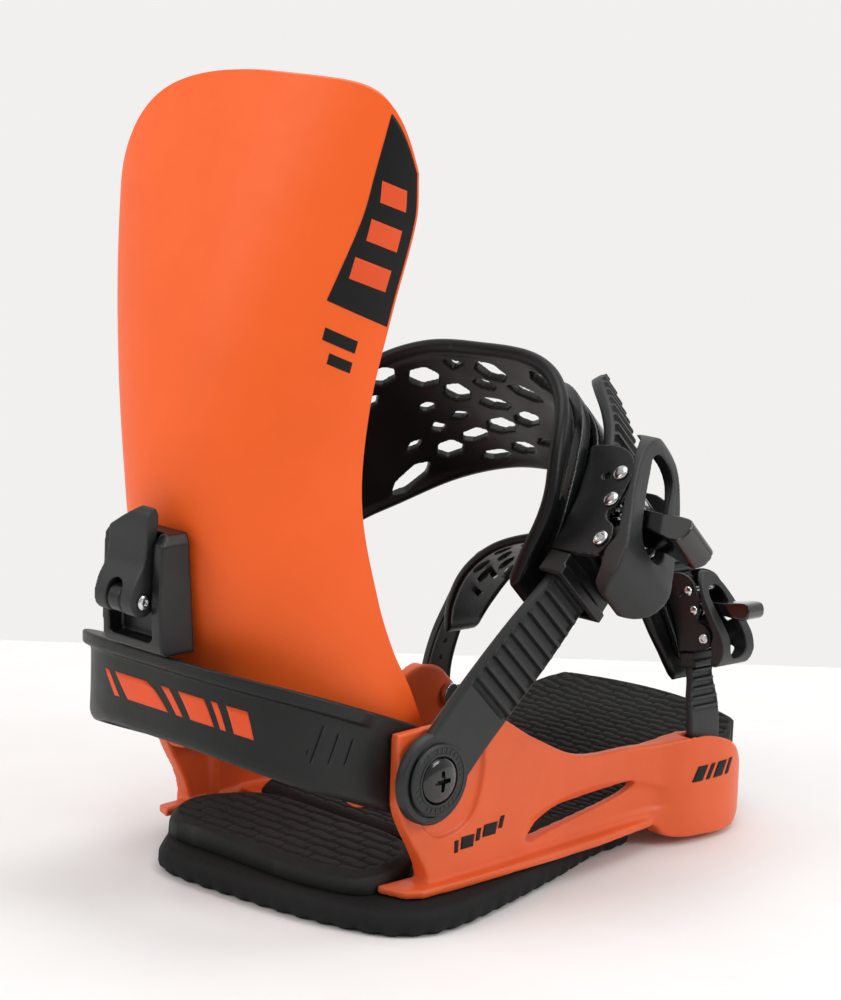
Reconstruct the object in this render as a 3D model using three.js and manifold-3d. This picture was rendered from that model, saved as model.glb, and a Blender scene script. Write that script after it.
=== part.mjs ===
// A strap-in snowboard binding for the right foot, in millimetres, +Z up.
// The origin is the centre of the mounting disc's underside, on the board.
// +X is the outer side, where the ratchet buckles are, and +Y points to the toe.
import * as THREE from 'three';
import { mergeVertices } from 'three/addons/utils/BufferGeometryUtils.js';
import Module from 'manifold-3d';

const wasm = await Module();
wasm.setup();

// ---- driving dimensions -------------------------------------------------

const GAP = 0.3; // clearance between neighbouring pieces
const RAD = Math.PI / 180;

const GASKET_TOP = 9;
const FLOOR_TOP = 13;
const FLANGE_TOP = 12.4;
const DISC_RADIUS = 47;
const DISC_RIM_RADIUS = 51.5;
const DISC_SCREW_PITCH = 40;
const DISC_SIDES = 36;
const HEEL_PAD_TOP = 17.5;

const HEEL_END = -65;
const TOE_END = 126;

const ANKLE = { y: -52.5, z: 50, tilt: 45 * RAD }; // ankle bolt axis and the strap's slope
const TOE = { y: 86, z: 31, tilt: 86 * RAD, skew: 6.15 * RAD };
const TOE_ANCHOR = 63.3; // half the distance between the toe strap's anchors

const HOOP_TILT = 21.4 * RAD;
const HOOP_HEIGHT = 31;
const HOOP_WALL = 4.5;
const HOOP_HALF_WIDTH = 57.2;

const HIGHBACK_TOP = 282;
const HIGHBACK_WALL = 4.5;

const LADDER_WALL = 4.5;
const ANKLE_LADDER_WIDTH = 25;
const TOE_LADDER_WIDTH = 18;
const PAD_WALL = 5.5;

// ---- colours ------------------------------------------------------------

const ORANGE = { color: 0xf2642b, roughness: 0.48, metalness: 0 };
const ORANGE_DEEP = { color: 0xec5c26, roughness: 0.45, metalness: 0 };
const BLACK_PLASTIC = { color: 0x26282a, roughness: 0.42, metalness: 0 };
const GREY_PLASTIC = { color: 0x3a3d3e, roughness: 0.5, metalness: 0 };
const GLOSS_BLACK = { color: 0x121314, roughness: 0.18, metalness: 0 };
const FOAM = { color: 0x1c1c1d, roughness: 0.85, metalness: 0 };
const RUBBER = { color: 0x222324, roughness: 0.6, metalness: 0 };
const STEEL = { color: 0xc9cbcd, roughness: 0.28, metalness: 1 };
const DARK_METAL = { color: 0x141516, roughness: 0.25, metalness: 0.6 };
const SPRING_STEEL = { color: 0x8b8e90, roughness: 0.35, metalness: 1 };

// ---- solids -------------------------------------------------------------

function toSolid(geometry) {
  const bare = geometry.clone();
  bare.deleteAttribute('normal');
  bare.deleteAttribute('uv');
  const merged = mergeVertices(bare, 1e-4);
  const corners = merged.index.array;
  const kept = [];
  for (let i = 0; i < corners.length; i += 3) {
    const [a, b, c] = [corners[i], corners[i + 1], corners[i + 2]];
    if (a !== b && b !== c && c !== a) kept.push(a, b, c);
  }
  return new wasm.Manifold(new wasm.Mesh({
    numProp: 3,
    vertProperties: new Float32Array(merged.attributes.position.array),
    triVerts: new Uint32Array(kept),
  }));
}

function toGeometry(solid) {
  const mesh = solid.getMesh();
  const geometry = new THREE.BufferGeometry();
  geometry.setAttribute('position', new THREE.BufferAttribute(new Float32Array(mesh.vertProperties), 3));
  geometry.setIndex(new THREE.BufferAttribute(new Uint32Array(mesh.triVerts), 1));
  geometry.computeVertexNormals();
  return geometry;
}

function join(...pieces) {
  return toGeometry(pieces.map(toSolid).reduce((whole, piece) => whole.add(piece)));
}

function cut(body, ...tools) {
  return toGeometry(tools.map(toSolid).reduce((whole, tool) => whole.subtract(tool), toSolid(body)));
}

function common(body, other) {
  return toGeometry(toSolid(body).intersect(toSolid(other)));
}

// An outline in XY extruded up from z0 to z1.
function plate(shape, z0, z1, curveSegments = 8) {
  const geometry = new THREE.ExtrudeGeometry(shape, { depth: z1 - z0, bevelEnabled: false, curveSegments });
  return geometry.translate(0, 0, z0);
}

// An outline in (Y, Z) extruded across from x0 to x1.
function slab(shape, x0, x1, curveSegments = 8) {
  const geometry = plate(shape, x0, x1, curveSegments);
  return geometry.applyMatrix4(new THREE.Matrix4().makeBasis(
    new THREE.Vector3(0, 1, 0),
    new THREE.Vector3(0, 0, 1),
    new THREE.Vector3(1, 0, 0),
  ));
}

// A cylinder of the given radius between two points.
function rod(start, end, radius, sides = 16) {
  const length = start.distanceTo(end);
  const geometry = new THREE.CylinderGeometry(radius, radius, length, sides);
  const turn = new THREE.Quaternion().setFromUnitVectors(
    new THREE.Vector3(0, 1, 0),
    end.clone().sub(start).normalize(),
  );
  geometry.applyQuaternion(turn);
  return geometry.translate(...start.clone().add(end).multiplyScalar(0.5).toArray());
}

function rodX(x0, x1, y, z, radius, sides = 16) {
  return rod(new THREE.Vector3(x0, y, z), new THREE.Vector3(x1, y, z), radius, sides);
}

function rodZ(x, y, z0, z1, radius, sides = 16) {
  return rod(new THREE.Vector3(x, y, z0), new THREE.Vector3(x, y, z1), radius, sides);
}

function block(x0, x1, y0, y1, z0, z1) {
  const geometry = new THREE.BoxGeometry(x1 - x0, y1 - y0, z1 - z0);
  return geometry.translate((x0 + x1) / 2, (y0 + y1) / 2, (z0 + z1) / 2);
}

// A turned piece: the profile's points are (radius, height), and the axis runs along X from x0.
function turnedX(profile, x0, y, z, segments = 24) {
  const geometry = new THREE.LatheGeometry(profile.map(([r, h]) => new THREE.Vector2(r, h)), segments);
  geometry.applyMatrix4(new THREE.Matrix4().makeBasis(
    new THREE.Vector3(0, 1, 0),
    new THREE.Vector3(1, 0, 0),
    new THREE.Vector3(0, 0, -1),
  ));
  return geometry.translate(x0, y, z);
}

function polygon(points) {
  return new THREE.Shape(points.map(([a, b]) => new THREE.Vector2(a, b)));
}

function roundedBox(a0, a1, b0, b1, radius) {
  const shape = new THREE.Shape();
  shape.absarc(a1 - radius, b1 - radius, radius, 0, Math.PI / 2);
  shape.absarc(a0 + radius, b1 - radius, radius, Math.PI / 2, Math.PI);
  shape.absarc(a0 + radius, b0 + radius, radius, Math.PI, 1.5 * Math.PI);
  shape.absarc(a1 - radius, b0 + radius, radius, 1.5 * Math.PI, 2 * Math.PI);
  return shape;
}

// A closed outline drawn as a smooth curve through its points.
function smoothOutline(points, samples) {
  const curve = new THREE.CatmullRomCurve3(points.map(([a, b]) => new THREE.Vector3(a, b, 0)), true, 'centripetal');
  return new THREE.Shape(curve.getSpacedPoints(samples).slice(0, -1).map((p) => new THREE.Vector2(p.x, p.y)));
}

// A smooth value through (position, value) pairs given in rising order.
function profile(pairs) {
  return (at) => {
    const last = pairs.length - 1;
    if (at <= pairs[0][0]) return pairs[0][1];
    if (at >= pairs[last][0]) return pairs[last][1];
    const i = pairs.findIndex((pair) => at < pair[0]) - 1;
    const slope = (k) => {
      const [a, b] = [Math.max(0, k - 1), Math.min(last, k + 1)];
      return (pairs[b][1] - pairs[a][1]) / (pairs[b][0] - pairs[a][0]);
    };
    const span = pairs[i + 1][0] - pairs[i][0];
    const t = (at - pairs[i][0]) / span;
    const h00 = 2 * t ** 3 - 3 * t ** 2 + 1;
    const h10 = t ** 3 - 2 * t ** 2 + t;
    return h00 * pairs[i][1] + h10 * span * slope(i)
      + (1 - h00) * pairs[i + 1][1] + (t ** 3 - t ** 2) * span * slope(i + 1);
  };
}

// A closed solid lofted through rings of equal point counts, capped at both ends.
function loft(rings) {
  const count = rings[0].length;
  const points = rings.flat();
  const faces = [];
  for (let i = 0; i < rings.length - 1; i++) {
    for (let j = 0; j < count; j++) {
      const a = i * count + j;
      const b = i * count + ((j + 1) % count);
      faces.push(a, b, a + count, b, b + count, a + count);
    }
  }
  [0, rings.length - 1].forEach((row, end) => {
    const centre = rings[row].reduce((sum, p) => sum.add(p), new THREE.Vector3()).divideScalar(count);
    points.push(centre);
    for (let j = 0; j < count; j++) {
      const a = row * count + j;
      const b = row * count + ((j + 1) % count);
      if (end === 0) faces.push(points.length - 1, b, a);
      else faces.push(points.length - 1, a, b);
    }
  });
  return outwards(points, faces);
}

// A curved sheet with thickness: pointAt(u, v, side) gives the outer (0) and the inner (1) skin.
function sheet(columns, rows, pointAt) {
  const points = [];
  const at = (side, i, j) => (side * (rows + 1) + j) * (columns + 1) + i;
  for (const side of [0, 1]) {
    for (let j = 0; j <= rows; j++) {
      for (let i = 0; i <= columns; i++) points.push(pointAt(i / columns, j / rows, side));
    }
  }
  const faces = [];
  const quad = (a, b, c, d) => faces.push(a, b, c, a, c, d);
  for (let j = 0; j < rows; j++) {
    for (let i = 0; i < columns; i++) {
      quad(at(0, i, j), at(0, i + 1, j), at(0, i + 1, j + 1), at(0, i, j + 1));
      quad(at(1, i, j), at(1, i, j + 1), at(1, i + 1, j + 1), at(1, i + 1, j));
    }
  }
  for (let i = 0; i < columns; i++) {
    quad(at(0, i, 0), at(1, i, 0), at(1, i + 1, 0), at(0, i + 1, 0));
    quad(at(0, i, rows), at(0, i + 1, rows), at(1, i + 1, rows), at(1, i, rows));
  }
  for (let j = 0; j < rows; j++) {
    quad(at(0, 0, j), at(0, 0, j + 1), at(1, 0, j + 1), at(1, 0, j));
    quad(at(0, columns, j), at(1, columns, j), at(1, columns, j + 1), at(0, columns, j + 1));
  }
  return outwards(points, faces);
}

// Builds the geometry, with its faces turned to point out.
function outwards(points, faces) {
  let volume = 0;
  for (let i = 0; i < faces.length; i += 3) {
    const [a, b, c] = [points[faces[i]], points[faces[i + 1]], points[faces[i + 2]]];
    volume += a.dot(new THREE.Vector3().crossVectors(b, c));
  }
  const geometry = new THREE.BufferGeometry().setFromPoints(points);
  geometry.setIndex(volume > 0 ? faces : faces.slice().reverse());
  geometry.computeVertexNormals();
  return geometry;
}

const mix = (a, b, t) => a + (b - a) * t;
const smoothstep = (a, b, x) => THREE.MathUtils.smoothstep(x, a, b);

// ---- scene --------------------------------------------------------------

const binding = new THREE.Group();

// A group whose +Y runs up the ankle strap, with its origin on the ankle bolts' axis.
const ankle = new THREE.Group();
ankle.position.set(0, ANKLE.y, ANKLE.z);
ankle.rotation.x = ANKLE.tilt;
binding.add(ankle);

// The same for the toe strap, whose anchors lie on a slightly skewed axis.
const toe = new THREE.Group();
toe.position.set(0, TOE.y, TOE.z);
toe.rotation.set(TOE.tilt, 0, TOE.skew, 'ZYX');
binding.add(toe);

function add(name, geometry, look, parent = binding) {
  const mesh = new THREE.Mesh(geometry, new THREE.MeshStandardMaterial(look));
  mesh.name = name;
  parent.add(mesh);
  return mesh;
}

// ---- base ---------------------------------------------------------------

// The gasket's heel is cut back further on the inner side than on the outer side.
const gasketOutline = [
  [-24, -90.5], [10, -89.5], [38, -86.5], [60, -81], [72, -75], [79, -64], [80, -50], [76, -27], [66, 14], [57, 45], [54, 66],
  [-54, 66], [-57, 45], [-66, 14], [-73, -27], [-72, -45], [-62, -58], [-49, -70], [-34, -87.5],
];

function gasket() {
  const body = plate(polygon(gasketOutline), 0, GASKET_TOP);
  return cut(body, rodZ(0, 0, -1, GASKET_TOP + 1, DISC_RADIUS + GAP, DISC_SIDES));
}

const heelPadOutline = [
  [-35, -79], [0, -80], [38, -77.5], [54, -71], [53, -58], [47, -43], [34, -33], [0, -31], [-36, -33], [-46, -44], [-50, -58], [-45, -71],
];

function heelPad() {
  const body = plate(polygon(heelPadOutline), GASKET_TOP + GAP, HEEL_PAD_TOP);
  // The pad's front laps over the disc's rim.
  return cut(body, rodZ(0, 0, 0, FLOOR_TOP + GAP, DISC_RIM_RADIUS + 2, DISC_SIDES));
}

function disc() {
  const outline = [
    [0, 0], [DISC_RADIUS, 0], [DISC_RADIUS, 11.2], [DISC_RIM_RADIUS, 11.2], [DISC_RIM_RADIUS, 12.2],
    [DISC_RIM_RADIUS - 1, 12.8], [32, 12.8], [30, 10.5], [0, 10.5],
  ];
  const body = new THREE.LatheGeometry(outline.map(([r, z]) => new THREE.Vector2(r, z)), DISC_SIDES);
  body.rotateX(Math.PI / 2);
  const holes = discScrewPlaces().flatMap(([x, y]) => [
    rodZ(x, y, -1, 20, 3.4, 10),
    rodZ(x, y, 6.2, 20, 6.6, 16),
  ]);
  return cut(body, ...holes);
}

function discScrewPlaces() {
  const half = DISC_SCREW_PITCH / 2;
  return [[half, half], [-half, half], [-half, -half], [half, -half]];
}

function discScrew(x, y) {
  const outline = [[0, 0.4], [3, 0.4], [3, 6.5], [6.2, 6.5], [6.2, 9.2], [5, 10], [0, 10]];
  const body = new THREE.LatheGeometry(outline.map(([r, z]) => new THREE.Vector2(r, z)), 16);
  body.rotateX(Math.PI / 2);
  const slots = [block(-3.2, 3.2, -0.6, 0.6, 8, 11), block(-0.6, 0.6, -3.2, 3.2, 8, 11)];
  return cut(body, ...slots).translate(x, y, 0);
}

// The outer face of a side wall, its thickness, its top edge and its lower edge, along Y.
const wallOuter = profile([
  [-65, 63.2], [-20, 63.2], [10, 62], [50, 61.4], [68, 63.4], [80, 67.2], [90, 68.4], [104, 67.6], [114, 63.4], [126, 54],
]);
const wallThickness = profile([[-65, 5.4], [-10, 5.4], [30, 5], [60, 5], [80, 10], [104, 10], [126, 5]]);
const rightTop = profile([
  [-65, 66], [-30, 66], [-18, 65], [3, 53], [28, 42], [55, 40], [70, 39.5], [84, 40.5], [97, 38], [108, 33], [119, 22], [126, 12],
]);
const leftTop = profile([
  [-65, 66], [-30, 66], [-18, 65], [3, 53], [28, 42], [48, 36], [58, 42.5], [67, 44.5], [76, 42], [90, 30], [106, 24], [126, 12],
]);
const wallFoot = profile([[-65, 9.3], [66, 9.3], [72, 4.2], [88, 2.4], [106, 2], [118, 5.5], [126, 9]]);

function sideWall(side, topEdge) {
  return sheet(22, 4, (u, v, skin) => {
    const y0 = mix(HEEL_END, TOE_END, u);
    const z = mix(wallFoot(y0), topEdge(y0), v);
    // The heel edge sweeps forward below the hoop.
    const sweep = 13 * (1 - smoothstep(12, 44, z)) * (1 - u) ** 6;
    const y = y0 + sweep;
    const lean = 2.5 * (1 - smoothstep(9, 30, z)) * (1 - u);
    const outer = wallOuter(y0) + lean - 1.5 * smoothstep(50, 66, z);
    const x = skin === 0 ? outer : wallOuter(y0) - wallThickness(y0);
    return new THREE.Vector3(side * x, y, z);
  });
}

// The outer flange is wider at the heel than the inner one.
const flangeOutline = [
  [54.6, -66], [66, -63.5], [69.5, -58], [70, -40], [69.6, 0], [68.4, 32], [65, 63], [61, 72], [57, 72], [57, -27],
];

function flange(side) {
  const shape = polygon(flangeOutline.map(([x, y]) => [side > 0 ? x : -Math.min(x, 61.5 + 0.07 * (y + 66)), y]));
  return plate(shape, GASKET_TOP + GAP, FLANGE_TOP);
}

function baseFloor() {
  const half = [[62, -28], [61, 110], [52, 124]];
  const outline = polygon([...half, ...half.slice().reverse().map(([x, y]) => [-x, y])]);
  return plate(outline, GASKET_TOP + GAP, FLOOR_TOP);
}

function wallWindow(side) {
  const outline = smoothOutline([[-3, 16.5], [14, 17.6], [56, 24.5], [58, 27], [40, 26.5], [12, 24.5]], 14);
  const [x0, x1] = side > 0 ? [50, 80] : [-80, -50];
  return slab(outline, x0, x1);
}

// The pocket in each wall that the toe strap's anchor drops into.
function toePocket(side) {
  const pocket = block(side * TOE_ANCHOR - 2.7, side * TOE_ANCHOR + 2.7, -11.5, 14, -9, 30);
  pocket.applyMatrix4(new THREE.Matrix4().makeRotationZ(TOE.skew));
  return pocket.translate(0, TOE.y, TOE.z);
}

function baseplate() {
  const pieces = [baseFloor()];
  for (const side of [1, -1]) {
    pieces.push(sideWall(side, side > 0 ? rightTop : leftTop), flange(side));
  }
  const tools = [
    rodZ(0, 0, 0, 10.9, DISC_RADIUS + GAP, DISC_SIDES),
    rodZ(0, 0, 10.9, 20, DISC_RIM_RADIUS + GAP, DISC_SIDES),
  ];
  for (const side of [1, -1]) {
    const [x0, x1] = side > 0 ? [50, 80] : [-80, -50];
    tools.push(wallWindow(side), rodX(x0, x1, ANKLE.y, ANKLE.z, 5.4, 20), toePocket(side));
    tools.push(rodX(side * 50, side * 61, HOOP_SCREW.y, HOOP_SCREW.z, 2.4, 12));
    tools.push(toeBore(side));
  }
  return cut(join(...pieces), ...tools);
}

const HOOP_SCREW = { y: -31, z: 41.5 };

// The footbed's half width and the height of its upper face, along Y.
const footbedHalf = profile([[-28, 46], [-18, 51], [40, 52], [80, 53], [110, 52.5], [124, 50], [133, 44]]);
const footbedTop = profile([[-28, 17], [30, 17.2], [60, 18.6], [90, 23], [115, 29], [134, 35]]);

function footbed() {
  return sheet(8, 12, (u, v, skin) => {
    const across = 2 * u - 1;
    const y0 = mix(-27, 134, v);
    const bulge = 10 * (1 - across ** 2) * smoothstep(90, 134, y0);
    const x = across * footbedHalf(y0);
    const top = footbedTop(y0);
    const under = Math.max(FLOOR_TOP + GAP, top - 14);
    return new THREE.Vector3(x, y0 + bulge, skin === 0 ? top : under);
  });
}

// ---- heel hoop ----------------------------------------------------------

// The band's outer face in plan, from its right end round the heel to its left end.
function hoopPlan(t) {
  const straight = 38;
  const arc = Math.PI * 61;
  const total = 2 * straight + arc;
  const run = t * total;
  if (run < straight) return { x: HOOP_HALF_WIDTH, a: -28 + run, nx: 1, na: 0 };
  if (run > straight + arc) return { x: -HOOP_HALF_WIDTH, a: -28 + (total - run), nx: -1, na: 0 };
  const angle = ((run - straight) / arc) * Math.PI;
  const depth = 65;
  // A superellipse, a little squarer at the heel's corners than an ellipse.
  const squareness = 0.7;
  const c = Math.cos(angle);
  const s = Math.sin(angle);
  const power = (value, exponent) => Math.sign(value) * Math.abs(value) ** exponent;
  const normal = new THREE.Vector2(
    power(c, 2 - squareness) / HOOP_HALF_WIDTH,
    power(s, 2 - squareness) / depth,
  ).normalize();
  return {
    x: HOOP_HALF_WIDTH * power(c, squareness),
    a: 10 + depth * power(s, squareness),
    nx: normal.x,
    na: normal.y,
  };
}

function hoopPoint(t, out, n) {
  const p = hoopPlan(t);
  const a = p.a + p.na * out;
  // The band stands nearly upright round the heel, though its plane is tilted.
  const flare = 0.37 * n * p.na;
  return new THREE.Vector3(
    p.x + p.nx * (out + flare),
    ANKLE.y - a * Math.cos(HOOP_TILT) + n * Math.sin(HOOP_TILT) - p.na * flare,
    ANKLE.z + a * Math.sin(HOOP_TILT) + n * Math.cos(HOOP_TILT),
  );
}

function heelHoop() {
  const rings = [];
  const steps = 36;
  const half = HOOP_HEIGHT / 2;
  for (let i = 0; i <= steps; i++) {
    const t = i / steps;
    const edge = Math.min(t, 1 - t);
    const rim = 3 * smoothstep(0.17, 0.2, edge);
    const toe = 5 * (1 - smoothstep(0, 0.1, edge));
    rings.push([
      hoopPoint(t, 0, -half + 2 + toe),
      hoopPoint(t, 0, half - 5),
      hoopPoint(t, rim, half - 4.6),
      hoopPoint(t, rim, half),
      hoopPoint(t, -HOOP_WALL, half),
      hoopPoint(t, -HOOP_WALL, -half + toe),
      hoopPoint(t, -1.5, -half + toe),
    ]);
  }
  const tools = [1, -1].flatMap((side) => [
    rodX(side * 45, side * 65, ANKLE.y, ANKLE.z, 5.4, 20),
    rodX(side * 45, side * 65, HOOP_SCREW.y, HOOP_SCREW.z, 2.6, 12),
  ]);
  return cut(loft(rings), ...tools);
}

function hoopScrew(side) {
  const outline = [[0, 0], [4.6, 0], [4.6, 1.4], [3, 2.6], [0, 2.6]];
  const head = turnedX(outline, 0, 0, 0, 20).rotateY(Math.PI).translate(52.4, 0, 0);
  const shank = rodX(52, 60.4, 0, 0, 2.1, 12);
  const recess = [block(49, 51.2, -2.4, 2.4, -0.5, 0.5), block(49, 51.2, -0.5, 0.5, -2.4, 2.4)];
  const screw = cut(join(head, shank), ...recess);
  if (side < 0) screw.rotateZ(Math.PI);
  return screw.translate(0, HOOP_SCREW.y, HOOP_SCREW.z);
}

// ---- highback -----------------------------------------------------------

// The shell's outer and inner side edges, its spine and the half angle of its arc, by height.
const outerEdgeX = profile([
  [40, 52.3], [77, 52.2], [91, 50.5], [109, 48.5], [142, 46], [174, 47], [206, 50.5], [237, 54.3], [253, 54.2], [282, 52.5],
]);
const outerEdgeY = profile([
  [40, -42], [60, -43], [77, -50], [91, -57], [109, -63], [142, -69.5], [174, -68.3], [206, -62.7], [237, -56.5], [253, -56], [282, -52],
]);
const innerEdgeX = profile([
  [40, 52.3], [77, 52.2], [91, 50.5], [109, 50], [142, 52], [174, 59], [206, 66], [237, 70], [253, 70], [282, 66],
]);
const innerEdgeY = profile([
  [40, -42], [60, -43], [77, -50], [91, -57], [109, -64], [142, -75], [174, -80], [206, -80], [237, -78], [253, -76], [282, -72],
]);
const spineY = profile([
  [50, -108.5], [80, -109.8], [90, -111.2], [104, -114.3], [131, -117], [160, -115], [200, -106], [240, -93], [282, -77],
]);
const arcAngle = profile([[60, 88 * RAD], [92, 80 * RAD], [282, 76 * RAD]]);

// The height of the top edge and of the bottom edge across the shell, for across from -1 to 1.
function highbackTopEdge(across) {
  const [drop, corner] = across < 0 ? [26, 26] : [3, 27];
  return HIGHBACK_TOP - corner * Math.abs(across) ** 6 - drop * across ** 2;
}

function highbackBottomEdge(across) {
  const side = Math.abs(across);
  return mix(62, 38.5, smoothstep(0.52, 0.74, side)) + 4.5 * smoothstep(0.9, 1, side);
}

function highbackPoint(across, z, inset) {
  const angle = arcAngle(z);
  const spine = spineY(z);
  const [edgeX, edgeY] = across < 0 ? [innerEdgeX(z), innerEdgeY(z)] : [outerEdgeX(z), outerEdgeY(z)];
  const depth = (edgeY - spine) / (1 - Math.cos(angle));
  const x = (edgeX * Math.sin(across * angle)) / Math.sin(angle);
  const y = spine + depth * (1 - Math.cos(across * angle));
  const tangent = new THREE.Vector2(
    (edgeX * Math.cos(across * angle)) / Math.sin(angle),
    depth * Math.sin(across * angle),
  ).normalize();
  return new THREE.Vector3(x - tangent.y * inset, y + tangent.x * inset, z);
}

function highback() {
  const shell = sheet(16, 13, (u, v, skin) => {
    const across = 2 * u - 1;
    const z = mix(highbackBottomEdge(across), highbackTopEdge(across), v);
    return highbackPoint(across, z, skin * HIGHBACK_WALL);
  });
  const bores = [1, -1].map((side) => rodX(side * 40, side * 60, ANKLE.y, ANKLE.z, 5.4, 16));
  const seats = [1, -1].map((side) => rodX(side * 30, side * 47.5, ANKLE.y, ANKLE.z, 9.2, 20));
  const slot = block(-3.1, 3.1, -130, -100, LEAN.z - 5, LEAN.z + 22);
  return cut(shell, ...bores, ...seats, slot);
}

function highbackPad() {
  return sheet(8, 8, (u, v, skin) => {
    const across = 0.62 * (2 * u - 1);
    const z = mix(150, 258 - 6 * across ** 2, v);
    return highbackPoint(across, z, HIGHBACK_WALL + 1.2 + (1 - skin) * 3);
  });
}

// ---- forward lean adjuster ----------------------------------------------

// The adjuster's lever pin, and how far its block stands off the shell.
const LEAN = { y: -132.5, z: 111.5, face: -129.5, top: 134 };

function leanBlock() {
  const outline = polygon([
    [-114.9, 93.2], [LEAN.face + 2, 93.2], [LEAN.face, 96], [LEAN.face - 1, 110], [LEAN.face, 131],
    [LEAN.face + 3, LEAN.top], [-117.5, LEAN.top], [-117.7, 128],
  ]);
  const channel = block(-10.9, 10.9, -150, LEAN.face + 5.5, 97.5, 150);
  const boltHole = rod(new THREE.Vector3(0, -140, LEAN.z), new THREE.Vector3(0, -110, LEAN.z), 2.8, 12);
  return cut(slab(outline, -14, 15.5), channel, boltHole);
}

function leanLever() {
  const outline = smoothOutline([
    [-5, 0], [-3.4, -4], [0.5, -5.2], [4.5, -3], [5.1, 2], [5, 16], [6, 29], [4.4, 31], [2.2, 29], [1, 18], [0, 12], [-3.4, 6],
  ].map(([y, z]) => [LEAN.y + y, LEAN.z + z]), 22);
  const fork = block(-3.6, 3.6, -150, -120, 90, LEAN.z + 7);
  const bore = rodX(-20, 20, LEAN.y, LEAN.z, 2.3, 12);
  // Seen from behind, the panel's top slopes down to the inner side.
  const front = polygon([
    [-9.6, -8], [9.6, -8], [9.6, 33], [7, 33], [-9.6, 23],
  ].map(([x, z]) => [x, LEAN.z + z]));
  const panel = plate(front, 115, 150).rotateX(Math.PI / 2);
  return cut(common(slab(outline, -9.6, 9.6), panel), fork, bore);
}

function leanPin() {
  const heads = [1, -1].map((side) => rodX(side * 9.9, side * 10.6, LEAN.y, LEAN.z, 3, 12));
  return join(rodX(-9.95, 9.95, LEAN.y, LEAN.z, 2, 12), ...heads);
}

function leanEyebolt() {
  const eye = rodX(-3.2, 3.2, LEAN.y, LEAN.z, 4.8, 16);
  const shank = rod(new THREE.Vector3(0, LEAN.y + 3, LEAN.z), new THREE.Vector3(0, -105.4, LEAN.z), 2.4, 12);
  return cut(join(eye, shank), rodX(-10, 10, LEAN.y, LEAN.z, 2.3, 12));
}

function leanNut() {
  const body = block(-7, 7, -107.4, -105, LEAN.z - 6, LEAN.z + 6);
  return cut(body, rod(new THREE.Vector3(0, -120, LEAN.z), new THREE.Vector3(0, -100, LEAN.z), 2.7, 12));
}

// ---- straps -------------------------------------------------------------

// A band of even thickness along a path in (x, distance), extruded over n0..n1.
// Teeth stand on its outer side between two distances.
function band(path, thickness, n0, n1, teeth = null) {
  const curve = new THREE.CatmullRomCurve3(path.map(([x, d]) => new THREE.Vector3(x, d, 0)), false, 'centripetal');
  const steps = teeth ? teeth.steps : 20;
  const outer = [];
  const inner = [];
  for (let i = 0; i <= steps; i++) {
    const t = i / steps;
    const p = curve.getPointAt(t);
    const along = curve.getTangentAt(t);
    const out = new THREE.Vector2(along.y, -along.x);
    const toothed = teeth && t > teeth.from && t < teeth.to;
    const ridge = toothed ? [0, 0.9][i % 2] : 0;
    outer.push([p.x + out.x * (thickness / 2 + ridge), p.y + out.y * (thickness / 2 + ridge)]);
    inner.push([p.x - (out.x * thickness) / 2, p.y - (out.y * thickness) / 2]);
  }
  return plate(polygon([...outer, ...inner.reverse()]), n0, n1);
}

const ankleLadderPath = [
  [65.8, 0], [66, 20], [67.5, 40], [70.6, 73], [71.2, 86], [70.8, 98], [68.2, 111.6], [63.4, 125.6], [56.3, 140.4], [48, 150.5],
  [38, 159.5], [28, 168],
];

function ankleLadder() {
  const half = ANKLE_LADDER_WIDTH / 2;
  const strap = band(ankleLadderPath, LADDER_WALL, -half, half, { steps: 56, from: 0.2, to: 0.97 });
  const front = smoothOutline([[0, -half], [60, -half], [90, -10.5], [140, -9.5], [166, -8], [173, 0],
    [166, 8], [140, 9.5], [90, 10.5], [60, half], [0, half], [-10, 6], [-10, -6]], 26);
  const outline = slab(front, 15, 90);
  const boss = rodX(63.5, 68, 0, 0, 16, 28);
  return cut(join(common(strap, outline), boss), rodX(50, 80, 0, 0, 5.4, 16));
}

function ankleWasher(side) {
  const profilePoints = [[8.4, 0], [12.5, 0], [12.5, 1], [11.8, 1.6], [8.4, 1.6], [8.4, 0]];
  const ring = turnedX(profilePoints, 68.3, ANKLE.y, ANKLE.z, 24);
  return side > 0 ? ring : mirrored(ring);
}

// A rod across a strap at a point of its path: along is the path's direction there, and the offsets
// run outwards from the path.
function acrossStrap([x, d], along, from, to, radius, sides = 12) {
  const out = new THREE.Vector3(-along[1], along[0], 0).normalize();
  const at = (offset) => new THREE.Vector3(x, d, 0).addScaledVector(out, offset);
  return rod(at(from), at(to), radius, sides);
}

function mirrored(geometry) {
  const flipped = geometry.clone().scale(-1, 1, 1);
  const index = flipped.index.array.slice().reverse();
  flipped.setIndex(new THREE.BufferAttribute(index, 1));
  return flipped;
}

function ankleBolt(side) {
  const outline = [[0, 0], [8, 0], [8, 1], [7, 2.2], [4, 3], [0, 3.2]];
  const head = turnedX(outline, 68.3, 0, 0, 20);
  const shank = rodX(52, 68.5, 0, 0, 2.9, 12);
  const recess = [block(69.4, 75, -4, 4, -0.8, 0.8), block(69.4, 75, -0.8, 0.8, -4, 4)];
  const bolt = cut(join(head, shank), ...recess).translate(0, ANKLE.y, ANKLE.z);
  return side > 0 ? bolt : mirrored(bolt);
}

function ankleNut(side) {
  const flangePart = rodX(45.4, 47.2, ANKLE.y, ANKLE.z, 8.6, 20);
  const barrel = rodX(47, 67.6, ANKLE.y, ANKLE.z, 5, 16);
  const nut = cut(join(flangePart, barrel), rodX(50, 80, ANKLE.y, ANKLE.z, 3.2, 12));
  return side > 0 ? nut : mirrored(nut);
}

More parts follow.
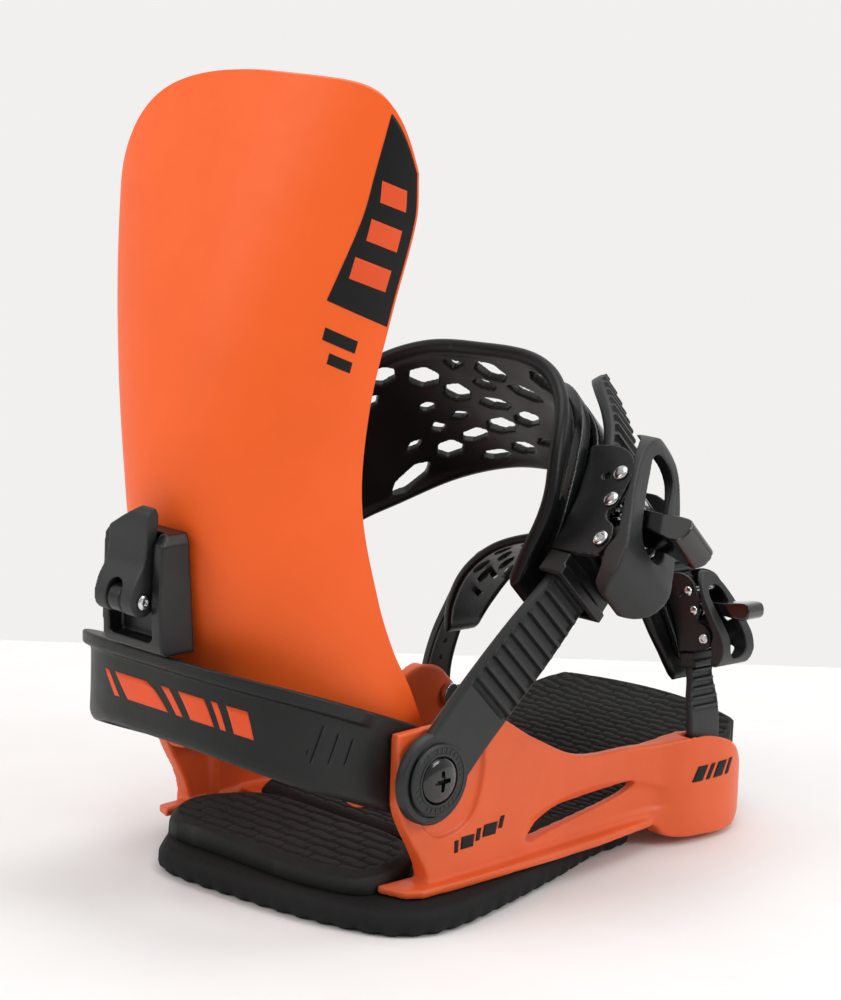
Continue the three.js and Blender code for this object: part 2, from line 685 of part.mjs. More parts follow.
// A pad: a thick band along a path, with its half width by distance along it.
function padAlong(path, halfWidth, thickness, columns) {
  const curve = new THREE.CatmullRomCurve3(path.map(([x, d]) => new THREE.Vector3(x, d, 0)), false, 'centripetal');
  return sheet(columns, 4, (u, v, skin) => {
    const p = curve.getPointAt(u);
    const along = curve.getTangentAt(u);
    const across = 2 * v - 1;
    const inset = (skin - 0.5) * thickness * (1 - 0.25 * across ** 4);
    return new THREE.Vector3(p.x - along.y * inset, p.y + along.x * inset, across * halfWidth(u));
  });
}

const anklePadPath = [
  [-67, 72], [-68, 100], [-58, 118], [-43, 136], [-22, 147], [5, 150], [26, 149.5], [38.5, 143.5], [48, 132.5], [54.3, 119.5],
  [58.2, 107], [60, 95], [59.8, 80], [58.8, 72],
];
const anklePadHalf = profile([[0, 14], [0.12, 26], [0.3, 35], [0.5, 37], [0.7, 37], [0.82, 34], [0.92, 22], [1, 12]]);

const ankleFramePath = [[14, 155.9], [28, 154.2], [40.8, 147.9], [51.5, 136.8], [58.2, 123], [62.3, 110], [64.6, 97], [64.4, 84]];

function ankleFrame() {
  const shell = band(ankleFramePath, 2.4, -20, 20);
  const outline = slab(smoothOutline([
    [82, -10], [100, -16], [125, -19], [148, -17], [160, -9], [160, 9], [148, 17], [125, 19], [100, 16], [82, 10],
  ], 20), 5, 80);
  const windows = [1, -1].map((side) => slab(roundedBox(104, 138, side > 0 ? 9.5 : -14, side > 0 ? 14 : -9.5, 2), 30, 90, 3));
  return cut(common(shell, outline), ...windows);
}

// The screw that clamps the inner link to the pad, through a small steel plate.
const LINK_SCREW = { at: [-64.6, 108.6], along: [0.485, 0.874] };

function anklePad() {
  const pad = padAlong(anklePadPath, anklePadHalf, PAD_WALL, 24);
  const seat = onLinkScrew(new THREE.BoxGeometry(8, 16, 11).translate(5.2, 0, 0));
  return cut(pad, seat, acrossStrap(LINK_SCREW.at, LINK_SCREW.along, -8, 8, 2.6));
}

// Puts a piece drawn about the origin on the link screw, with its +X pointing into the strap's loop.
function onLinkScrew(geometry) {
  const { at, along } = LINK_SCREW;
  return geometry.rotateZ(Math.atan2(-along[0], along[1])).translate(at[0], at[1], 0);
}

function ankleLinkPlate() {
  const plateBody = onLinkScrew(new THREE.BoxGeometry(1.1, 15, 10).translate(2.2, 0, 0));
  return cut(plateBody, acrossStrap(LINK_SCREW.at, LINK_SCREW.along, -8, 8, 2.6));
}

function ankleLinkScrew() {
  const { at, along } = LINK_SCREW;
  return join(acrossStrap(at, along, -4, 7.2, 2.2), acrossStrap(at, along, -4.5, -3.1, 3.6, 16));
}

const ankleLinkPath = [[-65.8, 0], [-66, 20], [-68.5, 50], [-73.4, 78], [-74.3, 98], [-68.8, 113]];

function ankleLink() {
  const path = ankleLinkPath.slice().reverse();
  const strap = band(path, 4, -11, 11);
  const outline = slab(smoothOutline([
    [0, -11], [60, -11], [108, -9], [115, 0], [108, 9], [60, 11], [0, 11], [-9, 6], [-9, -6],
  ], 20), -80, -50);
  const boss = rodX(-68, -63.5, 0, 0, 16, 24);
  const screwHole = acrossStrap(LINK_SCREW.at, LINK_SCREW.along, -12, 12, 2.6);
  return cut(join(common(strap, outline), boss), rodX(-80, -50, 0, 0, 5.4, 16), screwHole);
}

// A ratchet buckle in strap space: a channel with two cheeks, pins across it, a lever and a release tab.
// All sizes scale with k, and at(x, d) places a point of the full-size buckle.
function buckle(k, at, half) {
  const outline = (points) => polygon(points.map(([x, d]) => at(x, d)));
  const pinAt = (x, d, n0, n1, radius) => {
    const [px, pd] = at(x, d);
    return rod(new THREE.Vector3(px, pd, n0), new THREE.Vector3(px, pd, n1), radius, 12);
  };
  const cheekInner = half + 0.4;
  const cheekOuter = cheekInner + 2 * k;
  const axle = [86, 96];
  const pawlPin = [80, 112];
  const stopPin = [77, 123];

  const floorPath = [[67.8, 88.6], [67.5, 97], [65, 110.8], [60.8, 123.8], [57.4, 131]];
  const floor = band(floorPath.map(([x, d]) => at(x, d)).reverse(), 1.6 * k, -cheekOuter, cheekOuter);
  const cheekOutline = outline([...floorPath, [70, 134], [79, 129], [82, 122], [83, 113], [87, 104], [89.4, 96], [88, 90.8], [84, 89]]);
  const cheeks = [1, -1].map((side) => {
    const [n0, n1] = side > 0 ? [cheekInner, cheekOuter] : [-cheekOuter, -cheekInner];
    return plate(cheekOutline, n0, n1);
  });
  const bores = [axle, pawlPin, stopPin].map(([x, d]) => pinAt(x, d, -40, 40, 2.3 * k));
  const base = cut(join(floor, ...cheeks), ...bores);

  const pin = ([x, d], radius) => {
    const end = cheekOuter + GAP;
    return join(
      pinAt(x, d, -end, end, radius),
      pinAt(x, d, end - 0.01, end + 1.2, radius * 1.5),
      pinAt(x, d, -end - 1.2, -end + 0.01, radius * 1.5),
    );
  };

  // The lever: a bowed plate with a finger loop, and two legs down to the axle.
  const leverHalf = half + 4.5 * k;
  const bowed = outline([[66, 144], [70, 148], [75, 145], [81, 133], [88, 118], [95, 104.5], [99, 95], [98.5, 86], [93, 80],
    [90, 81], [91, 87], [90.5, 92], [92.4, 98], [90, 104.5], [86.5, 113], [83.6, 121], [78, 131], [71, 141]]);
  const front = smoothOutline([
    [at(0, 79)[1], 0], [at(0, 82)[1], -leverHalf * 0.6], [at(0, 93)[1], -leverHalf * 0.94], [at(0, 112)[1], -leverHalf],
    [at(0, 132)[1], -leverHalf * 0.9], [at(0, 144)[1], -leverHalf * 0.5], [at(0, 147.5)[1], 0],
    [at(0, 144)[1], leverHalf * 0.5], [at(0, 132)[1], leverHalf * 0.9], [at(0, 112)[1], leverHalf],
    [at(0, 93)[1], leverHalf * 0.94], [at(0, 82)[1], leverHalf * 0.6],
  ], 24);
  const opening = roundedBox(at(0, 101)[1], at(0, 140)[1], -leverHalf * 0.5, leverHalf * 0.5, leverHalf * 0.4);
  const [xLow] = at(40, 0);
  const [xHigh] = at(130, 0);
  const shellPlate = cut(
    common(plate(bowed, -leverHalf, leverHalf), slab(front, xLow, xHigh)),
    slab(opening, xLow, xHigh),
  );
  const legOutline = outline([[82.4, 93], [86, 91.8], [92, 88], [95, 90], [94, 103], [88, 104.5], [83.4, 100]]);
  const legs = [1, -1].map((side) => {
    const [n0, n1] = side > 0 ? [cheekInner - 2.9 * k, cheekInner - GAP] : [GAP - cheekInner, 2.9 * k - cheekInner];
    return plate(legOutline, n0, n1);
  });
  const lever = cut(join(shellPlate, ...legs), pinAt(86, 96, -40, 40, 2.3 * k));

  // The release: a pawl on its pin with a tab that stands out through the lever's opening.
  const releaseOutline = outline([[74.6, 110.4], [78, 107.4], [82.6, 108], [92, 109.4], [110, 108.6], [112, 111], [110.6, 113.6],
    [94, 114], [84.4, 115.4], [80, 116.8], [76.6, 115.6], [75.2, 113.6], [74, 112.6]]);
  const tabHalf = leverHalf * 0.42;
  const release = cut(plate(releaseOutline, -tabHalf, tabHalf), pinAt(80, 112, -40, 40, 2.3 * k));

  // A keeper that bridges the ladder where it enters, and the coiled spring beside the release.
  const keeperSide = outline([[68.2, 79.6], [78.8, 79.6], [78.8, 83], [77.6, 84], [77.6, 88], [68.2, 88]]);
  const keeperTop = outline([[75.8, 79.6], [78.8, 79.6], [78.8, 83], [77.6, 84], [77.6, 88], [75.8, 88]]);
  const keeper = join(
    plate(keeperTop, -cheekOuter, cheekOuter),
    plate(keeperSide, cheekInner, cheekOuter),
    plate(keeperSide, -cheekOuter, -cheekInner),
  );
  const spring = cut(pinAt(80, 112, tabHalf + 0.4, tabHalf + 2.2 * k, 3.7 * k), pinAt(80, 112, -40, 40, 2.4 * k));

  return {
    base,
    keeper,
    spring,
    lever,
    release,
    axle: pin(axle, 1.9 * k),
    pawlPin: pin(pawlPin, 1.9 * k),
    stopPin: pin(stopPin, 1.9 * k),
  };
}

// ---- toe strap ----------------------------------------------------------

// The toe buckle is the ankle's at a smaller scale, turned further over the foot about its axle.
const TOE_SCALE = 0.65;
const TOE_BUCKLE_TURN = 10 * RAD;
const TOE_AXLE = [65.8, 45.1];

function toeBucklePlace(x, d) {
  const [dx, dd] = [(x - 86) * TOE_SCALE, (d - 96) * TOE_SCALE];
  const [c, s] = [Math.cos(TOE_BUCKLE_TURN), Math.sin(TOE_BUCKLE_TURN)];
  return [TOE_AXLE[0] + dx * c - dd * s, TOE_AXLE[1] + dx * s + dd * c];
}

const toeLadderPath = [
  [TOE_ANCHOR, 0], [62, 14], [59.6, 26],
  ...ankleLadderPath.slice(4, 11).map(([x, d]) => toeBucklePlace(x, d)),
];
const toePadPath = [
  [-53.5, 26], [-49.5, 38], [-41, 52], [-27, 64], [-10, 71], [6, 73.6],
  ...anklePadPath.slice(6, 13).map(([x, d]) => toeBucklePlace(x, d)),
];
const toePadHalf = profile([[0, 9], [0.1, 15], [0.25, 20], [0.5, 22], [0.75, 21], [0.9, 16], [1, 9]]);

function toeLadder() {
  const half = TOE_LADDER_WIDTH / 2;
  const strap = band(toeLadderPath, LADDER_WALL * TOE_SCALE, -half, half, { steps: 40, from: 0.2, to: 0.97 });
  const outline = slab(smoothOutline([
    [-6, 0], [-5, -7], [4, -half], [20, -half], [27, -7], [70, -6.6], [83, -5.4], [86, 0],
    [83, 5.4], [70, 6.6], [27, 7], [20, half], [4, half], [-5, 7],
  ], 24), 20, 80);
  return cut(common(strap, outline), rodX(50, 80, 0, 0, 2.6, 12));
}

function toeBore(side) {
  const bore = rodX(side * 52, side * 61, 0, 0, 2.6, 12);
  bore.applyMatrix4(new THREE.Matrix4().makeRotationZ(TOE.skew));
  return bore.translate(0, TOE.y, TOE.z);
}

// The studs that fix the inner toe link to the toe pad.
const TOE_BUTTONS = [
  { at: [-50.9, 45.5], along: [0.52, 0.854] },
  { at: [-43.6, 55], along: [0.7, 0.714] },
];

function toeButton({ at, along }) {
  return join(acrossStrap(at, along, -7.6, 2.2, 1.3), acrossStrap(at, along, 1.9, 3.9, 3, 16));
}

function toePad() {
  const pad = padAlong(toePadPath, toePadHalf, PAD_WALL * TOE_SCALE, 20);
  return cut(pad, ...TOE_BUTTONS.map(({ at, along }) => acrossStrap(at, along, -14, 10, 1.6)));
}

function toeBolt(side) {
  const shank = rodX(side * 56.6, side * 64.8, 0, 0, 2.3, 12);
  const head = rodX(side * 54.4, side * 56.8, 0, 0, 4.4, 16);
  return join(shank, head);
}

function toeLink() {
  const path = [[-TOE_ANCHOR, 0], [-63.4, 10], [-60.2, 24], [-55.4, 36], [-50.9, 45.5], [-43.6, 55], [-37.4, 62]].reverse();
  const strap = band(path, 3, -8, 8);
  const outline = slab(smoothOutline([
    [-6, 0], [-5, -6], [4, -8], [50, -7], [60, -5], [62, 0], [60, 5], [50, 7], [4, 8], [-5, 6],
  ], 20), -80, -20);
  const holes = TOE_BUTTONS.map(({ at, along }) => acrossStrap(at, along, -10, 10, 1.6));
  return cut(common(strap, outline), rodX(-80, -50, 0, 0, 2.6, 12), ...holes);
}

function toeFrame() {
  const shell = band(ankleFramePath.slice(1).map(([x, d]) => toeBucklePlace(x, d)), 2.4 * TOE_SCALE, -12, 12);
  const outline = slab(smoothOutline([
    [38, -6], [50, -10], [68, -11.5], [80, -6], [81, 0], [80, 6], [68, 11.5], [50, 10], [38, 6],
  ], 20), 10, 80);
  return common(shell, outline);
}

// ---- assembly -----------------------------------------------------------

add('base_gasket', gasket(), FOAM);
add('heel_pad', heelPad(), FOAM);
add('baseplate', baseplate(), ORANGE_DEEP);
add('footbed', footbed(), FOAM);
add('mounting_disc', disc(), BLACK_PLASTIC);
discScrewPlaces().forEach(([x, y], i) => add(`disc_screw_${i + 1}`, discScrew(x, y), STEEL));

add('heel_hoop', heelHoop(), GREY_PLASTIC);
add('highback', highback(), ORANGE);
add('highback_pad', highbackPad(), FOAM);
for (const [label, side] of [['right', 1], ['left', -1]]) {
  add(`hoop_screw_${label}`, hoopScrew(side), DARK_METAL);
  add(`ankle_bolt_${label}`, ankleBolt(side), DARK_METAL);
  add(`ankle_washer_${label}`, ankleWasher(side), GREY_PLASTIC);
  add(`ankle_nut_${label}`, ankleNut(side), SPRING_STEEL);
}

add('lean_block', leanBlock(), BLACK_PLASTIC);
add('lean_lever', leanLever(), GREY_PLASTIC);
add('lean_pin', leanPin(), STEEL);
add('lean_eyebolt', leanEyebolt(), GREY_PLASTIC);
add('lean_nut', leanNut(), SPRING_STEEL);

add('ankle_ladder', ankleLadder(), GREY_PLASTIC, ankle);
add('ankle_pad', anklePad(), RUBBER, ankle);
add('ankle_link_plate', ankleLinkPlate(), STEEL, ankle);
add('ankle_link_screw', ankleLinkScrew(), STEEL, ankle);
add('ankle_frame', ankleFrame(), BLACK_PLASTIC, ankle);
add('ankle_link', ankleLink(), GREY_PLASTIC, ankle);

add('toe_ladder', toeLadder(), GREY_PLASTIC, toe);
add('toe_pad', toePad(), RUBBER, toe);
add('toe_frame', toeFrame(), BLACK_PLASTIC, toe);
add('toe_link', toeLink(), GREY_PLASTIC, toe);
TOE_BUTTONS.forEach((button, i) => add(`toe_link_button_${i + 1}`, toeButton(button), DARK_METAL, toe));
add('toe_bolt_right', toeBolt(1), STEEL, toe);
add('toe_bolt_left', toeBolt(-1), STEEL, toe);

const buckles = [
  ['ankle', ankle, buckle(1, (x, d) => [x, d], 12.2)],
  ['toe', toe, buckle(TOE_SCALE, toeBucklePlace, 7.4)],
];
for (const [strap, parent, set] of buckles) {
  add(`${strap}_buckle_base`, set.base, BLACK_PLASTIC, parent);
  add(`${strap}_ladder_keeper`, set.keeper, GREY_PLASTIC, parent);
  add(`${strap}_release_spring`, set.spring, SPRING_STEEL, parent);
  add(`${strap}_buckle_lever`, set.lever, GREY_PLASTIC, parent);
  add(`${strap}_buckle_release`, set.release, GLOSS_BLACK, parent);
  add(`${strap}_buckle_axle`, set.axle, STEEL, parent);
  add(`${strap}_pawl_pin`, set.pawlPin, STEEL, parent);
  add(`${strap}_stop_pin`, set.stopPin, STEEL, parent);
}

export default binding;
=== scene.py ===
# A strap-in snowboard binding for the right foot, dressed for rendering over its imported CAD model.
# Shapes are written in millimetres in the row frame and turned into metres when a mesh is made.
import math
import bmesh
import bpy
from mathutils import Matrix, Vector

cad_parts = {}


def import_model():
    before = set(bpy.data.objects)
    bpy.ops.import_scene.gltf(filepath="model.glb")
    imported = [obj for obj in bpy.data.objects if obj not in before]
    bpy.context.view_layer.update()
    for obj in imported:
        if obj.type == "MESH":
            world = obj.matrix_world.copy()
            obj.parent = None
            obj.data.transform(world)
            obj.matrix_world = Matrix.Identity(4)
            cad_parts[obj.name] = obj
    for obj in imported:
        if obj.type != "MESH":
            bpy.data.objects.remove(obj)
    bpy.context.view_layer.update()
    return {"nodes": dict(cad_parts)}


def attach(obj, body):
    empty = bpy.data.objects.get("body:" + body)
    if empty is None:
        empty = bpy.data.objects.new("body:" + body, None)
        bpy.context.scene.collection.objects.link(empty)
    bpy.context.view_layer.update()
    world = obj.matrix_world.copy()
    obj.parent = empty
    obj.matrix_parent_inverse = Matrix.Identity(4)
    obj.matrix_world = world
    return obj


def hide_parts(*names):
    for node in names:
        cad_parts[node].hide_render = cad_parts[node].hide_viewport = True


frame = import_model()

MM = 0.001
RAD = math.pi / 180

# ---- driving dimensions, the same as the CAD's ------------------------------------------------

GAP = 0.3  # between neighbouring pieces
GASKET_TOP = 9
FLOOR_TOP = 13
FLANGE_TOP = 12.4
DISC_RADIUS = 47
DISC_RIM_RADIUS = 51.5
HEEL_PAD_TOP = 17.5
HEEL_END = -65
TOE_END = 126
ANKLE_Y = -52.5
ANKLE_Z = 50
ANKLE_TILT = 45 * RAD
TOE_Y = 86
TOE_Z = 31
TOE_TILT = 86 * RAD
TOE_SKEW = 6.15 * RAD
TOE_ANCHOR = 63.3
TOE_SCALE = 0.65
TOE_BUCKLE_TURN = 10 * RAD
TOE_AXLE = (65.8, 45.1)
AXLE_AT = (86, 96)
HOOP_TILT = 21.4 * RAD
HOOP_HALF = 15.5
HOOP_WALL = 4.5
HOOP_HALF_WIDTH = 57.2
HOOP_FRONT = -28
HOOP_STRAIGHT = 38
HOOP_ARC = math.pi * 61
HOOP_DEPTH = 65
HOOP_SQUARENESS = 0.7
HIGHBACK_TOP = 282
HIGHBACK_WALL = 4.5
LEAN_Y = -132.5
LEAN_Z = 111.5
LEAN_FACE = -129.5

# ---- small maths ------------------------------------------------------------------------------


def mix(a, b, t):
    return a + (b - a) * t


def cos_sin(angle):
    return math.cos(angle), math.sin(angle)


def smoothstep(low, high, x):
    t = min(1, max(0, (x - low) / (high - low)))
    return t * t * (3 - 2 * t)


def profile(*pairs):
    """A smooth value through (position, value) pairs given in rising order."""
    last = len(pairs) - 1

    def slope(k):
        a, b = max(0, k - 1), min(last, k + 1)
        return (pairs[b][1] - pairs[a][1]) / (pairs[b][0] - pairs[a][0])

    def value(at):
        if at <= pairs[0][0]:
            return pairs[0][1]
        if at >= pairs[last][0]:
            return pairs[last][1]
        i = next(k for k, pair in enumerate(pairs) if at < pair[0]) - 1
        span = pairs[i + 1][0] - pairs[i][0]
        t = (at - pairs[i][0]) / span
        h00 = 2 * t**3 - 3 * t**2 + 1
        h10 = t**3 - 2 * t**2 + t
        return (h00 * pairs[i][1] + h10 * span * slope(i)
                + (1 - h00) * pairs[i + 1][1] + (t**3 - t**2) * span * slope(i + 1))

    return value


class Curve:
    """A smooth plane curve through points, read by distance along it or by share of its length."""

    def __init__(self, points, closed=False):
        steps = 24
        p = [Vector(q) for q in points]
        count = len(p)
        get = (lambda k: p[k % count]) if closed else (
            lambda k: 2 * p[0] - p[1] if k < 0 else (2 * p[-1] - p[-2] if k >= count else p[k]))
        self.points = []
        for i in range(count if closed else count - 1):
            p0, p1, p2, p3 = get(i - 1), get(i), get(i + 1), get(i + 2)
            d0, d1, d2 = [max((b - a).length, 1e-6) ** 0.5 for a, b in ((p0, p1), (p1, p2), (p2, p3))]
            t1 = ((p1 - p0) / d0 - (p2 - p0) / (d0 + d1) + (p2 - p1) / d1) * d1
            t2 = ((p2 - p1) / d1 - (p3 - p1) / (d1 + d2) + (p3 - p2) / d2) * d1
            for k in range(steps):
                s = k / steps
                self.points.append((2 * s**3 - 3 * s**2 + 1) * p1 + (s**3 - 2 * s**2 + s) * t1
                                   + (3 * s**2 - 2 * s**3) * p2 + (s**3 - s**2) * t2)
        self.points.append(p[0].copy() if closed else p[-1].copy())
        self.reach = [0]
        for a, b in zip(self.points, self.points[1:]):
            self.reach.append(self.reach[-1] + (b - a).length)
        self.length = self.reach[-1]

    def at(self, share):
        """The point and the direction at a share of the curve's length."""
        goal = min(max(share, 0), 1) * self.length
        low, high = 0, len(self.reach) - 1
        while high - low > 1:
            middle = (low + high) // 2
            if self.reach[middle] <= goal:
                low = middle
            else:
                high = middle
        a, b = self.points[low], self.points[high]
        t = (goal - self.reach[low]) / max(self.reach[high] - self.reach[low], 1e-9)
        return a.lerp(b, t), (b - a).normalized()

    def outline(self, samples):
        return [tuple(self.at(i / samples)[0]) for i in range(samples)]


def smooth_outline(points, samples=72):
    return Curve(points, closed=True).outline(samples)


def rounded_box(a0, a1, b0, b1, radius):
    steps = 6
    corners = [(a1 - radius, b1 - radius, 0), (a0 + radius, b1 - radius, 1),
               (a0 + radius, b0 + radius, 2), (a1 - radius, b0 + radius, 3)]
    return [(a + radius * math.cos((quarter + k / steps) * math.pi / 2),
             b + radius * math.sin((quarter + k / steps) * math.pi / 2))
            for a, b, quarter in corners for k in range(steps + 1)]


# ---- spaces -----------------------------------------------------------------------------------


def world(x, y, z):
    return (x, y, z)


def ankle_space(x, d, n):
    """x across the foot, d up along the ankle strap from its bolts, n square to both, rearwards."""
    c, s = cos_sin(ANKLE_TILT)
    return (x, ANKLE_Y + d * c - n * s, ANKLE_Z + d * s + n * c)


def toe_space(x, d, n):
    """The same for the toe strap, whose axis is slightly skewed."""
    c, s = cos_sin(TOE_TILT)
    ck, sk = cos_sin(TOE_SKEW)
    y, z = d * c - n * s, d * s + n * c
    return (x * ck - y * sk, TOE_Y + x * sk + y * ck, TOE_Z + z)


def toe_place(x, d):
    """Where a point of the full-size buckle lies in the toe strap's space."""
    dx, dd = (x - AXLE_AT[0]) * TOE_SCALE, (d - AXLE_AT[1]) * TOE_SCALE
    c, s = cos_sin(TOE_BUCKLE_TURN)
    return (TOE_AXLE[0] + dx * c - dd * s, TOE_AXLE[1] + dx * s + dd * c)


# ---- meshes -----------------------------------------------------------------------------------


def in_scene(obj):
    bpy.context.scene.collection.objects.link(obj)
    return obj


def shade_smooth(mesh):
    mesh.polygons.foreach_set("use_smooth", [True] * len(mesh.polygons))


def to_object(name, points, faces):
    """An object from millimetre points, with its faces turned to point out."""
    mesh = bpy.data.meshes.new(name)
    mesh.from_pydata([tuple(c * MM for c in p) for p in points], [], faces)
    build = bmesh.new()
    build.from_mesh(mesh)
    bmesh.ops.recalc_face_normals(build, faces=build.faces)
    build.to_mesh(mesh)
    build.free()
    shade_smooth(mesh)
    return in_scene(bpy.data.objects.new(name, mesh))


def grid_solid(name, columns, rows, point_at):
    """A curved sheet with thickness: point_at(u, v, side) gives the outer (0) and inner (1) skin."""
    points = [point_at(i / columns, j / rows, side)
              for side in (0, 1) for j in range(rows + 1) for i in range(columns + 1)]

    def at(side, i, j):
        return (side * (rows + 1) + j) * (columns + 1) + i

    faces = []
    for j in range(rows):
        for i in range(columns):
            faces.append((at(0, i, j), at(0, i + 1, j), at(0, i + 1, j + 1), at(0, i, j + 1)))
            faces.append((at(1, i, j), at(1, i, j + 1), at(1, i + 1, j + 1), at(1, i + 1, j)))
    for i in range(columns):
        for j in (0, rows):
            faces.append((at(0, i, j), at(0, i + 1, j), at(1, i + 1, j), at(1, i, j)))
    for j in range(rows):
        for i in (0, columns):
            faces.append((at(0, i, j), at(0, i, j + 1), at(1, i, j + 1), at(1, i, j)))
    return to_object(name, points, faces)


def loft(name, rings, closed=False):
    """A solid through rings of equal point counts, capped at both ends or closed on itself."""
    count = len(rings[0])
    last = (len(rings) - 1) * count
    points = [p for ring in rings for p in ring]
    faces = []
    for i in range(len(rings) if closed else len(rings) - 1):
        near, far = i * count, (i + 1) % len(rings) * count
        for j in range(count):
            k = (j + 1) % count
            faces.append((near + j, near + k, far + k, far + j))
    if not closed:
        faces.append(tuple(range(count)))
        faces.append(tuple(last + j for j in range(count)))
    return to_object(name, points, faces)


def prism(name, outline, low, high, place=world, order="abn"):
    """An outline extruded from low to high. order says which axes of place it runs along."""
    def point(a, b, n):
        return place(*{"abn": (a, b, n), "nab": (n, a, b), "anb": (a, n, b)}[order])
    return loft(name, [[point(a, b, low) for a, b in outline], [point(a, b, high) for a, b in outline]])


def lathe(name, outline, origin, axis, segments=40, closed=False):
    """A turned piece, or a ring if closed: outline points are (radius, distance along the axis)."""
    turn = Vector(axis).to_track_quat("Z", "Y").to_matrix()
    base = Vector(origin)
    rings = []
    for r, h in outline:
        ring = []
        for k in range(segments):
            angle = 2 * math.pi * k / segments
            ring.append(tuple(base + turn @ Vector((r * math.cos(angle), r * math.sin(angle), h))))
        rings.append(ring)
    return loft(name, rings, closed)


def ankle_turned(name, outline, side, segments=40, closed=False):
    """A piece turned about the ankle bolts' axis, with distances counted towards side."""
    return lathe(name, outline, (0, ANKLE_Y, ANKLE_Z), (side, 0, 0), segments, closed)


def disc_turned(name, outline):
    """A piece turned about the mounting disc's axis."""
    return lathe(name, outline, (0, 0, 0), (0, 0, 1), 96)


def joined(name, *parts):
    """One object holding all the parts' meshes."""
    build = bmesh.new()
    for part in parts:
        build.from_mesh(part.data)
    mesh = bpy.data.meshes.new(name)
    build.to_mesh(mesh)
    build.free()
    for part in parts:
        drop(part)
    return in_scene(bpy.data.objects.new(name, mesh))


def drop(obj):
    mesh = obj.data
    bpy.data.objects.remove(obj)
    bpy.data.meshes.remove(mesh)


def applied(obj):
    """Turns the object's modifiers into plain mesh."""
    bpy.context.view_layer.update()
    evaluated = obj.evaluated_get(bpy.context.evaluated_depsgraph_get())
    mesh = bpy.data.meshes.new_from_object(evaluated)
    obj.modifiers.clear()
    old, obj.data = obj.data, mesh
    bpy.data.meshes.remove(old)


def boolean(obj, tool, operation):
    modifier = obj.modifiers.new("boolean", "BOOLEAN")
    modifier.operation = operation
    modifier.solver = "EXACT"
    modifier.object = tool
    applied(obj)
    drop(tool)


def carve(obj, *tools):
    """Cuts the tools, which must not touch each other, out of the object."""
    boolean(obj, joined("tool", *tools) if len(tools) > 1 else tools[0], "DIFFERENCE")


def common(obj, tool):
    """Keeps only what the object shares with the tool."""
    boolean(obj, tool, "INTERSECT")


def moulded(obj, voxel, rounds):
    """Fuses the object's parts and rounds every edge, as a moulded plastic part has."""
    remesh = obj.modifiers.new("fuse", "REMESH")
    remesh.mode = "VOXEL"
    remesh.voxel_size = voxel * MM
    soften = obj.modifiers.new("round", "SMOOTH")
    soften.factor = 0.5
    soften.iterations = rounds
    applied(obj)
    shade_smooth(obj.data)
    return obj


def bevelled(obj, width, segments=3, angle=32):
    """Rounds the sharp edges by a bevel."""
    bevel = obj.modifiers.new("bevel", "BEVEL")
    bevel.width = width * MM
    bevel.segments = segments
    bevel.limit_method = "ANGLE"
    bevel.angle_limit = angle * RAD
    bevel.harden_normals = True
    shade_smooth(obj.data)
    return obj


def piece(obj, name, body, look, slot, *nodes):
    """Names, paints and mounts a finished piece, which stands for the given CAD nodes."""
    obj.name = name
    obj.data.name = name
    obj.data.materials.clear()
    obj.data.materials.append(look)
    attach(obj, body)
    if nodes:
        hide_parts(*nodes)


# ---- materials --------------------------------------------------------------------------------

MOTTLE_SCALE = 28
GLOSS_SCALE = 160
GRAIN_DEPTH = 0.0004


def srgb(r, g, b):
    """A linear colour from a colour written in 0 to 255."""
    return tuple(((c / 255 + 0.055) / 1.055) ** 2.4 if c > 10 else c / 255 / 12.92 for c in (r, g, b))


def surface(name, colour, rough, metal=0.0, mottle=0.06, grain=0.12, grain_scale=900,
            wear_and_highlight=0.0, coat=0.0, specular=0.5):
    """A procedural plastic, rubber or metal: mottled colour, uneven gloss, fine grain, edges paled by wear
    and a painted highlight.
    """
    material = bpy.data.materials.new(name)
    material.use_nodes = True
    tree = material.node_tree
    link = tree.links.new
    shader = tree.nodes["Principled BSDF"]
    place = tree.nodes.new("ShaderNodeTexCoord").outputs["Object"]

    def node(kind, entry, source, **values):
        """A node fed by source. An underscore in a value's name stands for a space."""
        made = tree.nodes.new("ShaderNode" + kind)
        for key, value in values.items():
            made.inputs[key.replace("_", " ")].default_value = value
        link(source, made.inputs[entry])
        return made

    def noise(scale, detail):
        return node("TexNoise", "Vector", place, Scale=scale, Detail=detail).outputs["Fac"]

    shader.inputs["Metallic"].default_value = metal
    shader.inputs["Coat Weight"].default_value = coat
    shader.inputs["Coat Roughness"].default_value = 0.12
    shader.inputs["Specular IOR Level"].default_value = specular

    tint = node("ValToRGB", "Fac", noise(MOTTLE_SCALE, 5))
    dark, pale = tint.color_ramp.elements
    dark.position, pale.position = 0.3, 0.7
    dark.color = (*[c * (1 - mottle) for c in colour], 1)
    pale.color = (*[min(1, c * (1 + mottle) + 0.003) for c in colour], 1)

    # Edges are painted paler where the surface turns: partly rubbed wear, partly a painted highlight that
    # catches the edges.
    pointed = tree.nodes.new("ShaderNodeNewGeometry").outputs["Pointiness"]
    edge = node("MapRange", "Value", pointed, From_Min=0.52, From_Max=0.62, To_Max=wear_and_highlight)
    rubbed_and_lit = tree.nodes.new("ShaderNodeMix")
    rubbed_and_lit.data_type = "RGBA"
    rubbed_and_lit.inputs["B"].default_value = (*[min(1, c * 1.5 + 0.05) for c in colour], 1)
    link(edge.outputs["Result"], rubbed_and_lit.inputs["Factor"])
    link(tint.outputs["Color"], rubbed_and_lit.inputs["A"])
    link(rubbed_and_lit.outputs["Result"], shader.inputs["Base Color"])

    uneven = node("MapRange", "Value", noise(GLOSS_SCALE, 4), To_Min=max(0.03, rough - 0.08),
                  To_Max=min(1, rough + 0.08))
    link(uneven.outputs["Result"], shader.inputs["Roughness"])
    bump = node("Bump", "Height", noise(grain_scale, 3), Strength=grain, Distance=GRAIN_DEPTH)
    link(bump.outputs["Normal"], shader.inputs["Normal"])
    return material


